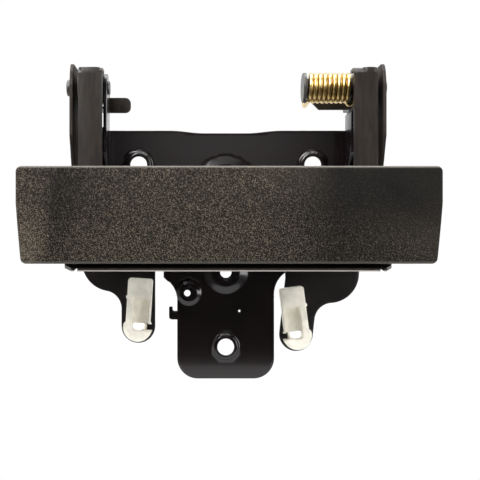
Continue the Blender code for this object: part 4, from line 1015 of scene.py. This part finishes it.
@dataclass
class PivotHardware:
    """The pins, the spacers, the spring, and the levers' rivet.

    The wire's room is the source's wire radius, which gives the coil's place; the wire itself is a little thicker.
    """

    pivot: tuple[float, float] = (-12 * MM, 78 * MM)
    left_ear: float = 61.7 * MM
    ear: float = 65.3 * MM
    outside: float = 79.2 * MM
    shank: float = 3 * MM
    stop: float = 3.9 * MM
    disc: float = 7.9 * MM
    shoulder: float = 4.9 * MM
    wire: float = 1.12 * MM
    wire_room: float = 1.05 * MM
    coil: float = 6.8 * MM
    turns: float = 8.75
    pitch: float = 2.43 * MM
    leg: float = 9.3 * MM
    leg_z: float = 70.5 * MM
    tab_face: float = 8.2 * MM
    tab_bend: float = 2.0 * MM
    ear_bend: float = 1.3 * MM
    spacer: tuple[float, float] = (74.7 * MM, 77.1 * MM)
    spacer_radii: tuple[float, float] = (3.3 * MM, 6 * MM)
    hub: tuple[float, float] = (25 * MM, 0.0)
    rivet: tuple[float, float] = (7.6 * MM, 16.3 * MM)
    rivet_radii: tuple[float, float] = (4 * MM, 6.5 * MM)
    dome: float = 2.2 * MM
    washer: tuple[float, float] = (14.6 * MM, 16 * MM)
    washer_radii: tuple[float, float] = (4.3 * MM, 9 * MM)

    def lathe(self, name: str, profile: Sequence[Sequence[float]], axis: Axis, centre: Sequence[float],
              finish: Finish, node: str) -> None:
        """Turn a profile with softened corners and let it stand for a node."""
        points, quads = turned_grid(softened(profile), axis, centre)
        add_piece(name, points, (quads,), finish, Body.BASE, [node])

    def head(self, way: float) -> Array:
        """A pin's round head from the ear outwards: flat under the head, then a quarter round into a flat end."""
        rise = np.linspace(0.0, 1.0, 7)
        along = way * (self.outside + (2.9 + 0.9 * np.sin(rise * np.pi / 2)) * MM)
        return np.column_stack([[way * self.outside, *along], [4.3 * MM, *((4.3 - 1.3 * rise ** 2) * MM)]])

    def build_pins(self) -> None:
        """The short left pin with its stop, and the long right pin with its disc head."""
        stop = SEAT - self.left_ear
        left = [(stop + 0.8 * MM, self.stop - 0.6 * MM), (stop, self.stop), (stop, self.shank),
                (-self.outside, self.shank), *self.head(-1.0)]
        self.lathe("left_pin_turned", left, Axis.X, self.pivot, PINS, "left_pivot_pin")
        start, seat = self.coil_start() - self.wire_room - SEAT, self.ear - SEAT
        right = [(start - 1.9 * MM, self.disc - 0.5 * MM), (start - 1.4 * MM, self.disc), (start, self.disc),
                 (start, self.shoulder), (seat, self.shoulder), (seat, self.shank), (self.outside, self.shank),
                 *self.head(1.0)]
        self.lathe("right_pin_turned", right, Axis.X, self.pivot, PINS, "right_pivot_pin")

    def coil_start(self) -> float:
        """X of the coil's first turn."""
        return self.ear - SEAT - self.wire_room - self.turns * self.pitch

    def build_spring(self) -> None:
        """The coil: a helix about the pin, with a leg up the tab and a leg down into the ear."""
        start, low = self.coil_start(), self.pivot[1] - self.coil
        tab = self.tab_face - SEAT - self.wire
        rise = np.linspace(low + self.leg, low + self.tab_bend + 0.4 * MM, 8)
        bend = arc((tab - self.tab_bend, low + self.tab_bend), self.tab_bend, 0, -90, 8)
        run = np.linspace(tab - self.tab_bend - 0.5 * MM, self.pivot[0] + 1.0 * MM, 10)
        leg = np.concatenate([np.column_stack([np.full_like(rise, tab), rise]), bend,
                              np.column_stack([run, np.full_like(run, low)])])
        leg = np.column_stack([np.full(len(leg), start), leg])
        turns = np.linspace(0.0, self.turns, int(self.turns * 48) + 1)
        angle = -np.pi / 2 - 2 * np.pi * turns
        coil = np.column_stack([start + self.pitch * turns, self.pivot[0] + self.coil * np.cos(angle),
                                self.pivot[1] + self.coil * np.sin(angle)])
        end = start + self.pitch * self.turns
        down = np.linspace(self.pivot[1] - 0.6 * MM, self.leg_z + 1.6 * MM, 16)
        drop = np.concatenate([np.column_stack([np.full_like(down, end), down]),
                               arc((end + self.ear_bend, self.leg_z + self.ear_bend), self.ear_bend, 180, 270, 8),
                               [(self.ear + 0.5 * MM, self.leg_z), (self.ear + 1.2 * MM, self.leg_z)]])
        drop = np.column_stack([drop[:, 0], np.full(len(drop), self.pivot[0] + self.coil), drop[:, 1]])
        turn = np.concatenate([np.zeros(len(leg) + len(coil)), np.linspace(0.0, np.pi / 2, len(down)),
                               np.full(len(drop) - len(down), np.pi / 2)])
        guide = np.column_stack([np.cos(turn), np.sin(turn), np.zeros(len(turn))])
        points, quads = tube(np.concatenate([leg, coil, drop]), guide, self.wire)
        add_piece("spring_wire", points, (quads,), YELLOW, Body.BASE, ["return_spring"], 60.0)

    def washer_grid(self, ends: Sequence[float], radii: Sequence[float], axis: Axis, centre: Sequence[float],
                    steps: int) -> tuple[Array, Array]:
        """A short ring between two ends, from its bore's radius to its own, as vertices and quads."""
        (low, high), (bore, radius) = ends, radii
        section = ring_section([(low, bore), (low, radius), (high, radius), (high, bore)])
        return turned_grid(section, axis, centre, steps, True)

    def build_spacers(self) -> None:
        """The nylon rings between the arms and the outer ears."""
        for side in Side:
            ends = [side.value * place for place in self.spacer]
            points, quads = self.washer_grid(ends, self.spacer_radii, Axis.X, self.pivot, 48)
            add_piece(side.word + "_spacer_ring", points, (quads,), IVORY, Body.BASE, [side.word + "_pivot_spacer"])

    def build_rivet(self) -> None:
        """The levers' rivet, each head a quarter of an ellipse, and its washer."""
        (near, far), (shank, radius) = self.rivet, self.rivet_radii
        turn = np.linspace(0.0, np.pi / 2, 8)
        front = np.column_stack([near - self.dome * np.cos(turn), radius * (0.25 + 0.75 * np.sin(turn))])
        back = np.column_stack([far + self.dome * np.sin(turn), radius * (0.25 + 0.75 * np.cos(turn))])
        profile = [*front, (near, shank), (far, shank), *back]
        self.lathe("rivet_turned", profile, Axis.Y, self.hub, ZINC, "lever_pivot_rivet")
        points, quads = self.washer_grid(self.washer, self.washer_radii, Axis.Y, self.hub, 56)
        add_piece("washer_turned", points, (quads,), ZINC, Body.BASE, ["lever_washer"])

    def build(self) -> None:
        """Make every turned piece and the spring."""
        self.build_pins()
        self.build_spacers()
        self.build_spring()
        self.build_rivet()


@dataclass
class Brackets:
    """The folded steel: the ears that hold the pins, and the handle's bracket with its arms."""

    def build(self) -> None:
        """Copy the folded nodes with soft edges, and dress the screws."""
        for side in Side:
            softened_copy(side.word + "_pivot_bracket", EARS, Body.BASE)
        softened_copy("handle_bracket", SATIN, Body.HANDLE, 0.2 * MM)
        for number in range(1, 5):
            softened_copy("paddle_screw_%d" % number, ZINC, Body.HANDLE, 0.15 * MM)


# Studio


@dataclass(frozen=True)
class Lamp:
    """A rectangular soft lamp that faces the handle, by its place and size in metres and its power in watts."""

    name: str
    place: Colour
    size: tuple[float, float]
    power: float

    def build(self) -> None:
        """Hang the lamp."""
        light = bpy.data.lights.new(self.name, "AREA")
        light.shape = "RECTANGLE"
        light.size, light.size_y = self.size
        light.energy = self.power
        lamp = linked(self.name, light)
        lamp.location = self.place
        lamp.rotation_euler = (Vector((0, 0, 0.01)) - Vector(self.place)).to_track_quat("-Z", "Y").to_euler()


@dataclass(frozen=True)
class Glow:
    """A soft patch of light in front: its height as a share of its distance, its radius and its strength."""

    up: float
    size: float
    power: float


@dataclass
class Studio:
    """The camera, the lamps, and the pale floor and backdrop."""

    camera_at: tuple[float, float, float] = (-16.4 * MM, -478 * MM, -1.07 * MM)
    lens: float = 67.1
    shift: float = 45.0 / 480.0
    floor_z: float = -75.6 * MM
    dark: float = 0.035
    bright: float = 0.6
    floor_from: float = -0.055
    bend: float = 0.4
    wall: tuple[float, float] = (1.3, 2.2)
    half_width: float = 2.4
    lamps: tuple[Lamp, ...] = (Lamp("key", (-0.55, -0.75, 0.85), (0.7, 0.7), 25.0),
                               Lamp("fill", (0.9, -0.7, 0.25), (0.6, 0.9), 9.0),
                               Lamp("top", (0.0, 0.15, 0.95), (1.2, 0.5), 12.0))
    glows: tuple[Glow, ...] = (Glow(0.11, 0.07, 0.85), Glow(-0.15, 0.04, 0.15), Glow(0.47, 0.13, 1.0))

    def build_camera(self) -> None:
        """A level camera that looks straight at the plate."""
        camera = bpy.data.cameras.new("camera")
        camera.sensor_width = 36.0
        camera.lens = self.lens
        camera.shift_x = self.shift
        camera.clip_start = 0.01
        holder = linked("camera", camera)
        holder.location = self.camera_at
        holder.rotation_euler = (radians(90), 0.0, 0.0)
        bpy.context.scene.camera = holder

    def white_paper(self, name: str) -> bpy.types.Material:
        """Paper that keeps its shadow and shows white to the camera and in reflections."""
        graph = Surface(name)
        graph.feed("Base Color", (0.92, 0.92, 0.92, 1.0))
        graph.feed("Roughness", 0.9)
        path = graph.node("ShaderNodeLightPath")
        seen = Signal(graph, path.outputs["Is Camera Ray"]) + Signal(graph, path.outputs["Is Glossy Ray"])
        seen = (seen + Signal(graph, path.outputs["Is Transmission Ray"])).step(0.0, 1.0)
        glow = graph.node("ShaderNodeEmission", inputs={"Strength": 1.0})
        mixed = graph.node("ShaderNodeMixShader", inputs={0: seen * 0.93, 1: graph.shader.outputs[0],
                                                          2: glow.outputs[0]})
        graph.give(graph.output.inputs["Surface"], mixed.outputs[0])
        return graph.material

    def build_sweep(self) -> None:
        """A floor that curves up into a backdrop: a profile of floor, quarter circle and wall carried along X."""
        bend = arc((self.wall[0] - self.bend, self.floor_z + self.bend), self.bend, -90, 0, 24)
        line = np.concatenate([[(self.floor_from, self.floor_z)], bend, [self.wall]])
        across = np.array((-self.half_width, self.half_width))
        points = np.stack([np.repeat(across, len(line)), np.tile(line[:, 0], 2), np.tile(line[:, 1], 2)], axis=1)
        mesh = bpy.data.meshes.new("sweep")
        mesh.from_pydata(points.tolist(), [], grid_quads(2, len(line), False, False).tolist())
        mesh.shade_smooth()
        mesh.materials.append(self.white_paper("white_paper"))
        linked("sweep", mesh)

    def build_world(self) -> None:
        """A sky that is white to the camera, and as light goes from dark in front to bright at the sides and above.

        The strength rises smoothly with the angle from the front, as a dark cloth before the handle would give, and
        each glow adds a soft round patch of its own.
        """
        world = bpy.data.worlds.new("studio")
        bpy.context.scene.world = world
        world.use_nodes = True
        sky = Graph(world.node_tree, "Generated")
        sides, forward, up = (sky.along(axis) for axis in "XYZ")
        open_sky = forward.step(-0.9, -0.3) * (0.55 + 0.45 * up.step(-0.3, 0.8))
        strength = self.dark + (self.bright - self.dark) * open_sky
        for glow in self.glows:
            across, above = sides - 0.03, up - glow.up
            patch = (across * across + above * above * 4.0).step(glow.size ** 2 * 4.0, 0.0)
            strength = strength + patch * forward.step(0.0, -0.2) * glow.power
        seen = Signal(sky, sky.node("ShaderNodeLightPath").outputs["Is Camera Ray"])
        white = {"Color": (1.0, 1.0, 1.0, 1.0), "Strength": strength + seen * (1.0 - strength)}
        light = sky.node("ShaderNodeBackground", inputs=white)
        sky.node("ShaderNodeOutputWorld", inputs={"Surface": light.outputs[0]})

    def build(self) -> None:
        """Set the whole studio up."""
        bpy.context.scene.view_settings.view_transform = "Standard"
        self.build_camera()
        self.build_world()
        self.build_sweep()
        for lamp in self.lamps:
            lamp.build()


def main() -> None:
    """Build the studio and every sub-assembly in order."""
    logging.basicConfig(level=logging.INFO, format="%(message)s")
    Studio().build()
    BasePlate().build()
    levers = Levers()
    for side, lean in ((Side.LEFT, 3.6), (Side.RIGHT, 7.3)):
        levers.build(side)
        RodClip(side, levers.clip_hole(side), levers.front(side) - SEAT, lean).build()
    Brackets().build()
    Paddle().build()
    PivotHardware().build()


if __name__ == "__main__":
    main()
